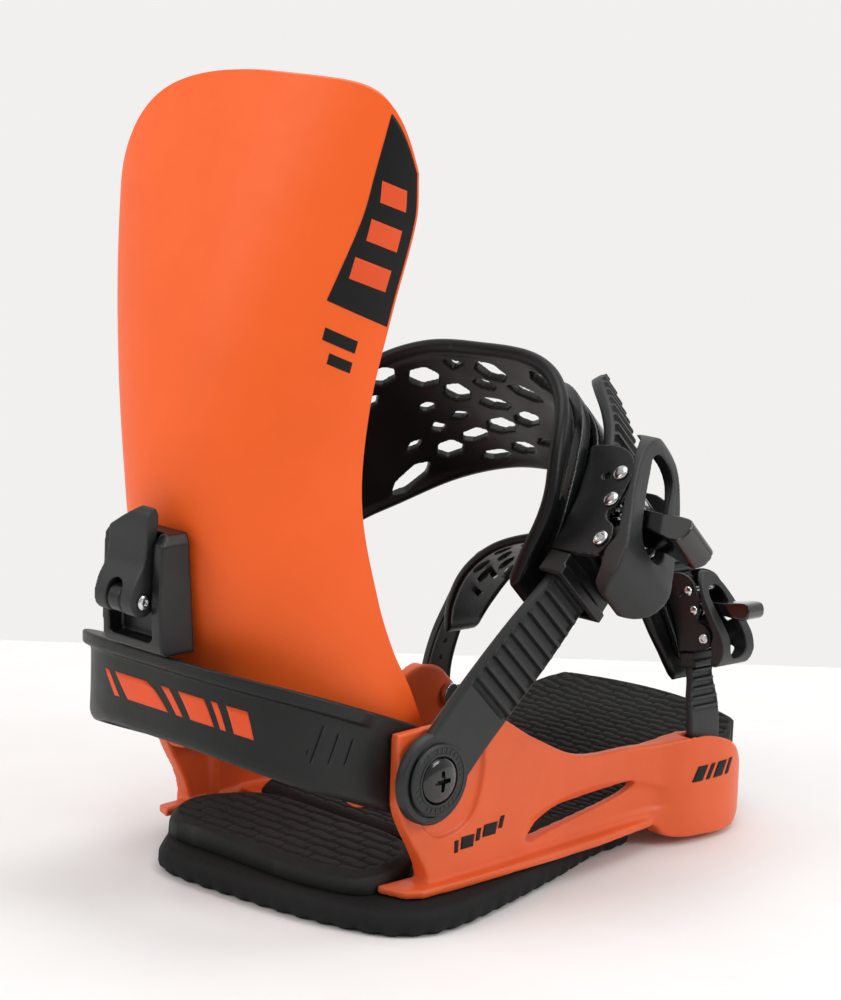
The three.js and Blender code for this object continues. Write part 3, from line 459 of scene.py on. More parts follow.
SHELL = surface("orange_shell", srgb(248, 98, 26), 0.52, mottle=0.03, grain=0.05, grain_scale=1400,
                specular=0.35)
BASE = surface("orange_base", srgb(227, 94, 43), 0.42, mottle=0.07, grain=0.08, grain_scale=1100, wear_and_highlight=0.4,
               specular=0.4)
PRINT_BLACK = surface("black_print", srgb(16, 15, 15), 0.5, mottle=0.05, grain=0.04, specular=0.25)
PRINT_ORANGE = surface("orange_print", srgb(232, 84, 38), 0.5, mottle=0.05, grain=0.04, specular=0.3)
HOOP = surface("hoop_nylon", srgb(20, 23, 22), 0.46, mottle=0.1, grain=0.16, wear_and_highlight=0.3, specular=0.32)
LADDER = surface("ladder_nylon", srgb(30, 33, 33), 0.44, mottle=0.08, grain=0.14, wear_and_highlight=0.35, specular=0.4)
LEVER = surface("lever_nylon", srgb(31, 33, 33), 0.46, mottle=0.08, grain=0.2, wear_and_highlight=0.25, specular=0.42)
BLACK = surface("black_nylon", srgb(16, 17, 18), 0.34, mottle=0.1, grain=0.1, wear_and_highlight=0.3, specular=0.4)
FRAME = surface("frame_rubber", srgb(17, 20, 19), 0.24, mottle=0.1, grain=0.06, wear_and_highlight=0.25, specular=0.5)
PAD = surface("pad_rubber", srgb(9, 10, 10), 0.4, mottle=0.12, grain=0.12, wear_and_highlight=0.3, specular=0.26)
# The foam's strong pale edges are mostly a painted highlight on the tread's raised edges, besides some wear.
FOAM = surface("eva_foam", srgb(27, 27, 26), 0.8, mottle=0.2, grain=0.6, grain_scale=520, wear_and_highlight=0.9,
               specular=0.3)
GASKET_FOAM = surface("gasket_foam", srgb(11, 11, 11), 0.8, mottle=0.2, grain=0.7, grain_scale=380, wear_and_highlight=0.7,
                      specular=0.22)
GLOSS = surface("gloss_black", srgb(8, 8, 8), 0.12, mottle=0.1, grain=0.02, coat=0.6)
DARK = surface("black_screw", srgb(12, 13, 13), 0.16, metal=0.3, mottle=0.1, grain=0.03, coat=0.6)
STEEL = surface("bright_steel", srgb(200, 202, 203), 0.2, metal=1.0, mottle=0.08, grain=0.05, wear_and_highlight=0.2)


# ---- camera, floor and light ------------------------------------------------------------------

CAMERA_PLACE = (0.7757, -0.77823, 0.3538)
CAMERA_AZIMUTH = 44.753 * RAD
CAMERA_ELEVATION = 11.614 * RAD
CAMERA_ROLL = 1.894 * RAD
CAMERA_LENS = 113.2
AWAY = Vector((-math.sin(CAMERA_AZIMUTH), math.cos(CAMERA_AZIMUTH), 0))
RIGHT = Vector((math.cos(CAMERA_AZIMUTH), math.sin(CAMERA_AZIMUTH), 0))
FLOOR_BEHIND = 0.315
FLOOR_REACH = 3
# Each softbox: name, place, size in metres and watts.
SOFTBOXES = [("right_box", (1.4, 0.58, 1.0), 0.7, 9.0), ("left_box", (-0.58, -1.42, 1.1), 0.8, 9.5),
             ("top_box", (0.1, 0.1, 1.6), 1.2, 12.0)]


def camera():
    back = Vector((0, 0, math.sin(CAMERA_ELEVATION))) - AWAY * math.cos(CAMERA_ELEVATION)
    up = back.cross(RIGHT)
    side = RIGHT * math.cos(CAMERA_ROLL) + up * math.sin(CAMERA_ROLL)
    top = up * math.cos(CAMERA_ROLL) - RIGHT * math.sin(CAMERA_ROLL)
    data = bpy.data.cameras.new("camera")
    data.lens = CAMERA_LENS
    data.sensor_width = 36
    data.clip_start = 0.01
    eye = in_scene(bpy.data.objects.new("camera", data))
    turn = Matrix([side, top, back]).transposed()
    eye.matrix_world = Matrix.Translation(CAMERA_PLACE) @ turn.to_4x4()
    bpy.context.scene.camera = eye
    bpy.context.scene.view_settings.view_transform = "Standard"


def pale_floor():
    """It ends a little way behind the object, where the backdrop starts."""
    foot = Vector((0, ANKLE_Y * MM, 0))
    corners = [foot + AWAY * a + RIGHT * b
               for a, b in ((FLOOR_BEHIND, FLOOR_REACH), (FLOOR_BEHIND, -FLOOR_REACH),
                            (-FLOOR_REACH, -FLOOR_REACH), (-FLOOR_REACH, FLOOR_REACH))]
    mesh = bpy.data.meshes.new("floor")
    mesh.from_pydata([tuple(c) for c in corners], [], [(0, 1, 2, 3)])
    sheet = in_scene(bpy.data.objects.new("floor", mesh))
    mesh.materials.append(surface("floor_paper", srgb(238, 236, 235), 0.7, mottle=0.01, grain=0.0))


def softboxes():
    for name, place, size, power in SOFTBOXES:
        data = bpy.data.lights.new(name, "AREA")
        data.size = size
        data.energy = power
        light = in_scene(bpy.data.objects.new(name, data))
        light.location = place
        aim = Vector((0, 0, 0.1)) - Vector(place)
        light.rotation_euler = aim.to_track_quat("-Z", "Y").to_euler()


def backdrop():
    """The world is bright behind the object and dimmer on the photographer's side."""
    sky = bpy.data.worlds.new("backdrop")
    bpy.context.scene.world = sky
    sky.use_nodes = True
    nodes, link = sky.node_tree.nodes, sky.node_tree.links.new
    direction = nodes.new("ShaderNodeTexCoord")
    facing = nodes.new("ShaderNodeVectorMath")
    facing.operation = "DOT_PRODUCT"
    facing.inputs[1].default_value = tuple(AWAY)
    link(direction.outputs["Generated"], facing.inputs[0])
    spread = nodes.new("ShaderNodeMapRange")
    for key, value in (("From Min", -0.2), ("From Max", 0.85), ("To Min", 0.46), ("To Max", 0.88)):
        spread.inputs[key].default_value = value
    link(facing.outputs["Value"], spread.inputs["Value"])
    link(spread.outputs["Result"], nodes["Background"].inputs["Strength"])
    nodes["Background"].inputs["Color"].default_value = (1.0, 0.99, 0.98, 1)


# ---- foam: gasket, heel pad, footbed ----------------------------------------------------------

GASKET_OUTLINE = [
    (-24, -90.5), (10, -89.5), (38, -86.5), (60, -81), (72, -75), (79, -64), (80, -50), (76, -27), (66, 14),
    (57, 45), (55, 62), (50, 66), (-50, 66), (-55, 62), (-57, 45), (-66, 14), (-73, -27), (-72, -45),
    (-62, -58), (-49, -70), (-34, -87),
]
HEEL_PAD_OUTLINE = [
    (-35, -79), (0, -80), (38, -77.5), (53, -71), (53, -58), (47, -43), (34, -33), (0, -31), (-36, -33),
    (-46, -44), (-50, -58), (-45, -71),
]


def inset_ring(outline, inset, z, wave):
    """The outline moved inwards, at height z, with small scallops."""
    pitch = 9
    count = len(outline)
    ring = []
    run = 0
    for i, (x, y) in enumerate(outline):
        before, after = outline[i - 1], outline[(i + 1) % count]
        along = Vector((after[0] - before[0], after[1] - before[1])).normalized()
        run += math.dist(before, (x, y))
        depth = inset + wave * abs(math.sin(math.pi * run / pitch)) ** 3
        ring.append((x - along.y * depth, y + along.x * depth, z))
    return ring


def dashes(x, y, length, pitch):
    """The tread's height: staggered rows of short, slightly waved bars."""
    y += 0.35 * math.sin(2 * math.pi * x / length)
    row = math.floor(y / pitch)
    across = (x + 0.5 * length * (row % 2)) % length - 0.5 * length
    along = y % pitch - 0.5 * pitch
    reach = math.hypot(max(abs(across) - 0.34 * length, 0), along)
    return smoothstep(0.42 * pitch, 0.27 * pitch, reach)


def inside(outline, x, y):
    """How far a point lies inside an outline; negative outside it."""
    within = False
    nearest = 1e9
    for i, (x1, y1) in enumerate(outline):
        x0, y0 = outline[i - 1]
        if (y0 > y) != (y1 > y) and x < (x1 - x0) * (y - y0) / (y1 - y0) + x0:
            within = not within
        edge = Vector((x1 - x0, y1 - y0))
        t = min(1, max(0, ((x - x0) * edge.x + (y - y0) * edge.y) / max(edge.length_squared, 1e-9)))
        nearest = min(nearest, math.dist((x, y), (x0 + edge.x * t, y0 + edge.y * t)))
    return nearest if within else -nearest


def gasket():
    outline = smooth_outline(GASKET_OUTLINE, 420)
    # Each ring: inset, height and depth of its scallops.
    rings = [(2.2, 0, 1.6), (0.4, 1.4, 0.9), (0, 3, 0.3), (0.2, 6, 0), (1.4, 8.2, 0), (3, GASKET_TOP, 0)]
    body = loft("gasket", [inset_ring(outline, *ring) for ring in rings])
    carve(body, disc_turned("hole", [(DISC_RADIUS + GAP, -2), (DISC_RADIUS + GAP, 20)]))
    piece(bevelled(body, 0.5, 2, 40), "gasket_foam", "base", GASKET_FOAM, "foam", "base_gasket")


def heel_pad():
    outline = smooth_outline(HEEL_PAD_OUTLINE, 200)
    back, front = -79.6, -31.6

    def point(u, v, side):
        # Each row of the grid is stretched to the outline's width there.
        y = mix(back, front, v)
        hits = []
        for i, (x1, y1) in enumerate(outline):
            x0, y0 = outline[i - 1]
            if (y0 > y) != (y1 > y):
                hits.append((x1 - x0) * (y - y0) / (y1 - y0) + x0)
        x = mix(min(hits), max(hits), u)
        if side:
            return (x, y, GASKET_TOP + GAP)
        rim = max(0, inside(outline, x, y))
        top = HEEL_PAD_TOP - 2.6 * (1 - min(1, rim / 3.2)) ** 2
        return (x, y, top - 1.1 * (1 - dashes(x, y, 14, 6.2)) * smoothstep(2.5, 4.5, rim))

    pad = grid_solid("heel", 190, 96, point)
    # The pad's front laps over the disc's rim.
    carve(pad, disc_turned("well", [(DISC_RIM_RADIUS + 2, -2), (DISC_RIM_RADIUS + 2, FLOOR_TOP + GAP)]))
    piece(pad, "heel_pad_foam", "base", FOAM, "foam", "heel_pad")


def footbed():
    half = profile((-28, 46), (-18, 51), (40, 52), (80, 53), (110, 52.5), (124, 50), (133, 44))
    top_height = profile((-28, 17), (30, 17.2), (60, 18.6), (90, 23), (115, 29), (134, 35))
    back, front = -27, 134

    def point(u, v, side):
        across = 2 * u - 1
        y0 = mix(back, front, v)
        bulge = 10 * (1 - across**2) * smoothstep(90, front, y0)
        x, y = across * half(y0), y0 + bulge
        top = top_height(y0)
        if side:
            return (x, y, max(FLOOR_TOP + GAP, top - 14))
        edge = min((1 - abs(across)) * half(y0), y0 - back, front - y0)
        crown = 2.4 * (1 - min(1, edge / 3)) ** 2
        return (x, y, top - crown - (1 - dashes(x, y, 10.5, 3.7)) * smoothstep(1.5, 3.5, edge))

    bed = grid_solid("bed", 170, 330, point)
    piece(bed, "footbed_foam", "base", FOAM, "foam", "footbed")


# ---- baseplate --------------------------------------------------------------------------------

wall_outer = profile((-65, 63.2), (-20, 63.2), (10, 62), (50, 61.4), (68, 63.4), (80, 67.2), (90, 68.4),
                     (104, 67.6), (114, 63.4), (126, 54))
wall_thickness = profile((-65, 5.4), (-10, 5.4), (30, 5), (60, 5), (80, 10), (104, 10), (126, 5))
right_top = profile((-65, 66), (-30, 66), (-18, 65), (3, 53), (28, 42), (55, 40), (70, 39.5), (84, 40.5),
                    (97, 38), (108, 33), (119, 22), (126, 12))
left_top = profile((-65, 66), (-30, 66), (-18, 65), (3, 53), (28, 42), (48, 36), (58, 42.5), (67, 44.5),
                   (76, 42), (90, 30), (106, 24), (126, 12))
wall_foot = profile((-65, 9.3), (66, 9.3), (72, 4.2), (88, 2.4), (106, 2), (118, 5.5), (126, 9))
FLANGE_OUTLINE = [(54.6, -66), (66, -63.5), (69.5, -58), (70, -40), (69.6, 0), (68.4, 32), (65, 63), (61, 72),
                  (57, 72), (57, -27)]


def wall_point(side, y0, z, skin, lift=0.0):
    """A point of a side wall's outer (0) or inner (1) skin, y0 along the foot and z up."""
    u = (y0 - HEEL_END) / (TOE_END - HEEL_END)
    # The heel edge sweeps forward below the hoop.
    sweep = 13 * (1 - smoothstep(12, 44, z)) * (1 - u) ** 6
    lean = 2.5 * (1 - smoothstep(9, 30, z)) * (1 - u)
    outer = wall_outer(y0) + lean - 1.5 * smoothstep(50, 66, z)
    # A shallow dished band follows the window's arch, down to a ledge above the flange.
    arch = 30 - 0.0045 * (y0 - 34) ** 2
    dish = 1.4 * smoothstep(arch, arch - 3, z) * smoothstep(-6, 6, y0) * smoothstep(76, 66, y0)
    outer -= dish * smoothstep(14.5, 16.5, z)
    x = outer + lift if skin == 0 else wall_outer(y0) - wall_thickness(y0)
    return (side * x, y0 + sweep, z)


def side_wall(side):
    top_edge = right_top if side > 0 else left_top

    def point(u, v, skin):
        y0 = mix(HEEL_END, TOE_END, u)
        return wall_point(side, y0, mix(wall_foot(y0), top_edge(y0), v), skin)

    return grid_solid("wall", 150, 44, point)


def wall_mark(side, y0, y1, z0, z1, slant):
    """A thin printed bar on a side wall, slanted along y by slant at its top."""
    def point(u, v, skin):
        return wall_point(side, mix(y0, y1, u) + slant * v, mix(z0, z1, v), 0, 0.3 - 0.5 * skin)

    return grid_solid("mark", 6, 6, point)


def toe_pocket(side):
    c, s = cos_sin(TOE_SKEW)

    def place(x, y, z):
        return (x * c - y * s, TOE_Y + x * s + y * c, TOE_Z + z)

    low, high = side * TOE_ANCHOR - 2.9, side * TOE_ANCHOR + 2.9
    return prism("pocket", [(low, -11.7), (high, -11.7), (high, 14.2), (low, 14.2)], -9, 30, place)


def baseplate():
    parts = []
    for side in (1, -1):
        wall = side_wall(side)
        low, high = sorted((side * 50, side * 80))
        window = smooth_outline([(-3, 16.5), (14, 17.6), (56, 24.5), (58, 27), (40, 26.5), (12, 24.5)], 40)
        bore = ankle_turned("bore", [(5.6, low), (5.6, high)], 1, 32)
        carve(wall, prism("window", window, low, high, order="nab"), bore, toe_pocket(side))
        # The outer face is set back inside a border round the hoop's end.
        recess = smooth_outline([(-59, 61), (-48, 62.4), (-27, 61.5), (-24, 50), (-30, 31), (-46, 27),
                                 (-56, 37)], 40)
        carve(wall, prism("recess", recess, *sorted((side * 61.6, side * 73.6)), order="nab"))
        # The inner flange is narrower than the outer one.
        outline = [(x, y) if side > 0 else (-min(x, 61.5 + 0.07 * (y + 66)), y) for x, y in FLANGE_OUTLINE]
        parts += [wall, prism("flange", outline, GASKET_TOP + GAP, FLANGE_TOP)]
    half = [(62, -28), (61, 110), (52, 124)]
    floor = prism("floor", half + [(-x, y) for x, y in reversed(half)], GASKET_TOP + GAP, FLOOR_TOP)
    well, ledge = DISC_RADIUS + 0.4, DISC_RIM_RADIUS + 0.4
    carve(floor, disc_turned("well", [(well, 0), (well, 10.8), (ledge, 10.9), (ledge, 20)]))
    # A stiffening rib stands inside the inner wall's pillar.
    rib = prism("rib", [(-58.6, -44), (-55.4, -43), (-55.4, -39.6), (-58.6, -38.6)], 11, 33)
    plate = moulded(joined("baseplate", floor, rib, *parts), 0.75, 5)
    piece(plate, "baseplate_moulding", "base", BASE, "orange_shell", "baseplate")


def baseplate_prints():
    """Plain bars at the heel and on the toe's bulge."""
    marks = []
    for side in (1, -1):
        for y, width in ((-44, 2), (-40, 7), (-31, 2), (-27, 7), (-18, 2)):
            low = 20.5 + 0.16 * (y + 44)
            marks.append(wall_mark(side, y, y + width, low, low + 4, 2))
        for y, width in ((82, 5), (89, 2), (93, 5), (100, 2)):
            marks.append(wall_mark(side, y, y + width, 23.5, 29, 3))
    piece(joined("marks", *marks), "baseplate_print_bars", "base", PRINT_BLACK, "black_plastic")


# ---- heel hoop --------------------------------------------------------------------------------


def hoop_plan(t):
    """Half across, distance rearwards and outward direction at a share of the hoop's run."""
    whole = 2 * HOOP_STRAIGHT + HOOP_ARC
    run = t * whole
    if run < HOOP_STRAIGHT:
        return HOOP_HALF_WIDTH, HOOP_FRONT + run, 1, 0
    if run > HOOP_STRAIGHT + HOOP_ARC:
        return -HOOP_HALF_WIDTH, HOOP_FRONT + (whole - run), -1, 0
    angle = (run - HOOP_STRAIGHT) / HOOP_ARC * math.pi

    def power(value, exponent):
        return math.copysign(abs(value) ** exponent, value)

    # A superellipse, a little squarer at the heel's corners than an ellipse.
    c, s = cos_sin(angle)
    square = HOOP_SQUARENESS
    normal = Vector((power(c, 2 - square) / HOOP_HALF_WIDTH, power(s, 2 - square) / HOOP_DEPTH)).normalized()
    rearwards = HOOP_FRONT + HOOP_STRAIGHT + HOOP_DEPTH * power(s, square)
    return HOOP_HALF_WIDTH * power(c, square), rearwards, normal.x, normal.y


def hoop_point(t, out, n):
    x, a, nx, na = hoop_plan(t)
    a += na * out
    c, s = cos_sin(HOOP_TILT)
    # The band stands nearly upright round the heel, though its plane is tilted.
    flare = 0.37 * n * na
    return (x + nx * (out + flare), ANKLE_Y - a * c + n * s - na * flare, ANKLE_Z + a * s + n * c)


def hoop_patch(name, t0, t1, n0, n1, slant, lift):
    """A thin mark on the hoop's outer face, standing out by lift and leaning by slant along t."""
    def point(u, v, side):
        t = mix(t0, t1, u) + slant * (v - 0.5)
        return hoop_point(t, lift if side == 0 else lift - 0.2, mix(n0, n1, v))

    return grid_solid(name, 10, 4, point)


def heel_hoop():
    rings = []
    steps = 400
    for i in range(steps + 1):
        t = i / steps
        edge = min(t, 1 - t)
        rim = 3 * smoothstep(0.17, 0.2, edge)
        low = -HOOP_HALF + 5 * (1 - smoothstep(0, 0.1, edge))
        high = HOOP_HALF
        section = [(-1.8, low), (-0.5, low + 1.4), (0, low + 3.4), (0, low + 8), (0, 3), (0, high - 5.4),
                   (rim * 0.8, high - 4.9), (rim, high - 4.3), (rim, high - 0.7), (rim - 0.7, high),
                   (-HOOP_WALL + 0.7, high), (-HOOP_WALL, high - 0.7), (-HOOP_WALL, 3),
                   (-HOOP_WALL, low + 0.6), (-HOOP_WALL + 0.6, low)]
        rings.append([hoop_point(t, out, n) for out, n in section])
    band = moulded(loft("hoop", rings), 0.5, 2)
    # Raised ribs and a knob near the outer end: start, end, bottom, top and height.
    marks = [hoop_patch("rib", *mark[:4], 0, mark[4]) for mark in (
        (0.236, 0.239, -6.5, 6.5, 0.5), (0.212, 0.214, -5, 5.5, 0.4), (0.19, 0.192, -4, 5, 0.4),
        (0.245, 0.2485, -4.2, -2.6, 0.5))]
    band = joined("hoop", band, *marks)
    shade_smooth(band.data)
    band.data.set_sharp_from_angle(angle=40 * RAD)
    piece(band, "heel_hoop_band", "base", HOOP, "grey_plastic", "heel_hoop")


def hoop_prints():
    """Plain slanted bars across the heel."""
    bars = [hoop_patch("bar", start, start + width, -4.8, 4.2, 0.022, 0.12) for start, width in (
        (0.345, 0.034), (0.393, 0.01), (0.414, 0.04), (0.467, 0.01), (0.489, 0.04), (0.543, 0.01))]
    piece(joined("bars", *bars), "hoop_print_bars", "base", PRINT_ORANGE, "orange_shell")


# ---- highback ---------------------------------------------------------------------------------

outer_edge_x = profile((40, 52.3), (77, 52.2), (91, 50.5), (109, 48.5), (142, 46), (174, 47), (206, 50.5),
                       (237, 54.3), (253, 54.2), (282, 52.5))
outer_edge_y = profile((40, -42), (60, -43), (77, -50), (91, -57), (109, -63), (142, -69.5), (174, -68.3),
                       (206, -62.7), (237, -56.5), (253, -56), (282, -52))
inner_edge_x = profile((40, 52.3), (77, 52.2), (91, 50.5), (109, 50), (142, 52), (174, 59), (206, 66),
                       (237, 70), (253, 70), (282, 66))
inner_edge_y = profile((40, -42), (60, -43), (77, -50), (91, -57), (109, -64), (142, -75), (174, -80),
                       (206, -80), (237, -78), (253, -76), (282, -72))
spine_y = profile((50, -108.5), (80, -109.8), (90, -111.2), (104, -114.3), (131, -117), (160, -115),
                  (200, -106), (240, -93), (282, -77))
arc_angle = profile((60, 88 * RAD), (92, 80 * RAD), (282, 76 * RAD))


def highback_top(across):
    drop, corner = (26, 26) if across < 0 else (3, 27)
    return HIGHBACK_TOP - corner * abs(across) ** 6 - drop * across**2


def highback_bottom(across):
    side = abs(across)
    return mix(62, 38.5, smoothstep(0.52, 0.74, side)) + 4.5 * smoothstep(0.9, 1, side)


def highback_point(across, z, inset):
    angle, spine = arc_angle(z), spine_y(z)
    edge_x, edge_y = (inner_edge_x(z), inner_edge_y(z)) if across < 0 else (outer_edge_x(z), outer_edge_y(z))
    depth = (edge_y - spine) / (1 - math.cos(angle))
    x = edge_x * math.sin(across * angle) / math.sin(angle)
    y = spine + depth * (1 - math.cos(across * angle))
    tangent = Vector((edge_x * math.cos(across * angle) / math.sin(angle),
                      depth * math.sin(across * angle))).normalized()
    return (x - tangent.y * inset, y + tangent.x * inset, z)


def highback():
    def point(u, v, skin):
        across = 2 * u - 1
        z = mix(highback_bottom(across), highback_top(across), v)
        return highback_point(across, z, skin * HIGHBACK_WALL)

    shell = grid_solid("shell", 96, 110, point)
    seats = [ankle_turned("seat", [(9.3, 30), (9.3, 47.5)], side) for side in (1, -1)]
    slot = prism("slot", rounded_box(-3.1, 3.1, LEAN_Z - 5, LEAN_Z + 22, 3), -130, -100, order="anb")
    carve(shell, *seats, slot)
    bevelled(shell, 1.5, 4, 45)
    piece(shell, "highback_shell", "highback", SHELL, "orange_shell", "highback")


def highback_pad():
    """Foam on the shell's inner face, with moulded grooves across it."""
    def point(u, v, skin):
        across = 0.62 * (2 * u - 1)
        z = mix(150, 258 - 6 * across**2, v)
        edge = min(u, 1 - u, v, 1 - v)
        swell = 3 * smoothstep(-0.02, 0.07, edge) - 0.5 * (abs(math.sin(math.pi * v * 9)) < 0.14)
        return highback_point(across, z, HIGHBACK_WALL + 1.2 + (1 - skin) * max(0.6, swell))

    pad = bevelled(grid_solid("pad", 60, 108, point), 0.5, 2, 50)
    piece(pad, "highback_pad_foam", "highback", FOAM, "foam", "highback_pad")


def highback_patch(name, across_range, low, high, lift, columns=16, rows=24):
    """A thin printed mark on the shell between two heights given as functions of across."""
    def point(u, v, side):
        across = mix(*across_range, u)
        z = mix(low(across), high(across), v)
        return highback_point(across, z, -lift if side == 0 else 0.15 - lift)

    return grid_solid(name, columns, rows, point)


def highback_prints():
    """A plain black wedge at the outer edge with three bars on it, and two ticks below."""
    left, right = 0.663, 0.988

    def falling(height, fall=28, origin=left):
        return lambda across: height - fall * (across - origin)

    bottom = falling(211)

    def top(across):
        return max(bottom(across) + 0.3, min(211 + 467 * (across - left), highback_top(across) - 2.2))

    marks = [highback_patch("wedge", (left, right), bottom, top, 0.14, 40, 40)]
    for start, low, high in ((0.69, 199, 203), (0.74, 192.5, 196)):
        marks.append(highback_patch("tick", (start, 0.86), falling(low), falling(high), 0.14))
    piece(joined("wedge", *marks), "highback_print_wedge", "highback", PRINT_BLACK, "black_plastic")
    bars = []
    for base in (219, 232, 245):
        start = 0.735 + (base - 219) * 0.0022
        bars.append(highback_patch("bar", (start, 0.93), falling(base, 24, 0.7), falling(base + 7, 24, 0.7),
                                   0.26))
    piece(joined("bars", *bars), "highback_print_bars", "highback", PRINT_ORANGE, "orange_shell")


# ---- forward lean adjuster --------------------------------------------------------------------


def lean_block():
    outline = [(-114.9, 93.2), (LEAN_FACE + 2.4, 93.2), (LEAN_FACE + 0.4, 94.4), (LEAN_FACE - 0.3, 97),
               (LEAN_FACE - 1, 110), (LEAN_FACE, 130.6), (LEAN_FACE + 3, 134), (-117.5, 134), (-117.7, 128)]
    body = prism("block", outline, -14, 15.5, order="nab")
    channel = prism("channel", rounded_box(-10.9, 10.9, 97.5, 150, 2), -150, LEAN_FACE + 5.5, order="anb")
    hole = lathe("hole", [(2.8, 0), (2.8, 30)], (0, -140, LEAN_Z), (0, 1, 0))
    corners = []
    for side in (1, -1):
        corner = [(side * 17, 140), (side * 10.5 + 0.75, 140), (side * 17, 127)]
        corners.append(prism("corner", corner, -140, -110, order="anb"))
    carve(body, channel)
    carve(body, hole)
    carve(body, *corners)
    moulded(body, 0.45, 4)
    piece(body, "lean_block_body", "lean_adjuster", BLACK, "black_plastic", "lean_block")


def lean_lever():
    outline = smooth_outline([(LEAN_Y + y, LEAN_Z + z) for y, z in (
        (-5, 0), (-3.4, -4), (0.5, -5.2), (4.5, -3), (5.1, 2), (5, 16), (6, 29), (4.4, 31), (2.2, 29),
        (1, 18), (0, 12), (-3.4, 6))], 80)
    lever = prism("lever", outline, -9.6, 9.6, order="nab")
    # Seen from behind, the panel's top slopes down to the inner side.
    front = [(x, LEAN_Z + z) for x, z in ((-9.6, -8), (9.6, -8), (9.6, 33), (7, 33), (-9.6, 23))]
    common(lever, prism("front", front, -150, -115, order="anb"))
    carve(lever, prism("fork", rounded_box(-3.7, 3.7, 90, LEAN_Z + 7, 3.4), -150, -120, order="anb"))
    carve(lever, lathe("bore", [(2.3, -20), (2.3, 20)], (0, LEAN_Y, LEAN_Z), (1, 0, 0)))
    moulded(lever, 0.4, 4)
    piece(lever, "lean_lever_body", "lean_lever", LEVER, "grey_plastic", "lean_lever")


def lean_hardware():
    """The cross pin, headed at both ends, and the eyebolt it passes through."""
    at = (0, LEAN_Y, LEAN_Z)
    pin = [(2.3, -10.6), (2.6, -10.2), (2.6, -9.9), (2, -9.9), (2, 9.9), (2.6, 9.9), (2.6, 10.3), (2.1, 10.7),
           (1.1, 10.7), (1, 10.1)]
    piece(bevelled(lathe("pin", pin, at, (1, 0, 0)), 0.12, 2, 40), "lean_pin_turned", "lean_adjuster", STEEL,
          "steel", "lean_pin")
    loop = [(2.3, -3.2), (4.3, -3.2), (4.9, -2.5), (4.9, 2.5), (4.3, 3.2), (2.3, 3.2)]
    eye = lathe("eye", loop, at, (1, 0, 0), 48, closed=True)
    shank = lathe("shank", [(2.4, 4.4), (2.4, 27)], at, (0, 1, 0))
    piece(bevelled(joined("eye", eye, shank), 0.2, 2, 40), "lean_eyebolt_turned", "lean_adjuster", BLACK,
          "grey_plastic", "lean_eyebolt")


# ---- straps -----------------------------------------------------------------------------------


def strap_solid(name, path, half_width, skin, place, steps, columns=26):
    """A strap along a path: half_width(t), and skin(t, across) gives its outer and inner offsets."""
    rings = []
    for i in range(steps + 1):
        t = i / steps
        p, along = path.at(t)
        out = Vector((along.y, -along.x))
        ring = []
        for side in (0, 1):
            for k in range(columns + 1):
                sweep = k / columns if side == 0 else 1 - k / columns
                across = math.sin((sweep - 0.5) * math.pi)
                if side == 1 and k in (0, columns):
                    continue
                offset = skin(t, across)[side]
                ring.append(place(p.x + out.x * offset, p.y + out.y * offset, across * half_width(t)))
        rings.append(ring)
    return loft(name, rings)


def along_path(path, share, across, offset, place):
    """A point of a strap: across in millimetres, offset outwards from its middle."""
    p, direction = path.at(share)
    return place(p.x + direction.y * offset, p.y - direction.x * offset, across)


# Each strap's middle line: x across the foot, and distance up along the strap from its bolts.
ANKLE_LADDER_POINTS = [(65.8, 0), (66, 20), (67.5, 40), (70.6, 73), (71.2, 86), (70.8, 98), (68.2, 111.6),
                       (63.4, 125.6), (56.3, 140.4), (48, 150.5), (38, 159.5), (28, 168)]
ANKLE_PAD_POINTS = [(-67, 72), (-68, 100), (-58, 118), (-43, 136), (-22, 147), (5, 150), (26, 149.5),
                    (38.5, 143.5), (48, 132.5), (54.3, 119.5), (58.2, 107), (60, 95), (59.8, 80), (58.8, 72)]
ANKLE_FRAME_POINTS = [(14, 155.9), (28, 154.2), (40.8, 147.9), (51.5, 136.8), (58.2, 123), (62.3, 110),
                      (64.6, 97), (64.4, 84)]
TOE_LADDER_POINTS = [(TOE_ANCHOR, 0), (62, 14), (59.6, 26)] + [
    toe_place(x, d) for x, d in ANKLE_LADDER_POINTS[4:11]]
TOE_PAD_POINTS = [(-53.5, 26), (-49.5, 38), (-41, 52), (-27, 64), (-10, 71), (6, 73.6)] + [
    toe_place(x, d) for x, d in ANKLE_PAD_POINTS[6:]]


def ladder(path, half_width, wall, pitch, first, last, place):
    """A toothed strap: a plain stretch, then ridges inside two smooth rails."""
    def skin(t, across):
        s = t * path.length
        inset = smoothstep(first, first + 3, s) * smoothstep(last, last - 2, s)
        inset *= smoothstep(0.93, 0.84, abs(across))
        cycle = s / pitch % 1
        ridge = smoothstep(0.12, 0.22, cycle) * smoothstep(0.62, 0.5, cycle)
        round_off = 0.5 * wall * (1 - max(0, abs(across) - 0.94) / 0.06 * 0.5)
        return round_off + inset * wall * (-0.24 + 0.5 * ridge), -round_off

    steps = int(path.length / (pitch / 11))
    return strap_solid("ladder", path, half_width, skin, place, steps, 30)


def ankle_boss(side):
    """The raised ring round the bolt at the foot of an ankle strap."""
    ring = [(14.6, 63.5), (16, 64.6), (16, 67.2), (15.2, 68), (13.2, 68), (13, 67.4)]
    return ankle_turned("boss", ring, side, 72)


def ankle_ladder():
    width = profile((0, 12.5), (0.3, 12.5), (0.45, 10.8), (0.7, 9.8), (0.9, 8.6), (0.95, 7.4), (0.985, 4.4),
                    (1, 1.5))
    strap = ladder(Curve(ANKLE_LADDER_POINTS), width, 4.5, 4.9, 31, 206, ankle_space)
    piece(bevelled(joined("ladder", strap, ankle_boss(1)), 0.25, 2, 45), "ankle_ladder_strap", "ankle_ladder",
          LADDER, "grey_plastic", "ankle_ladder")


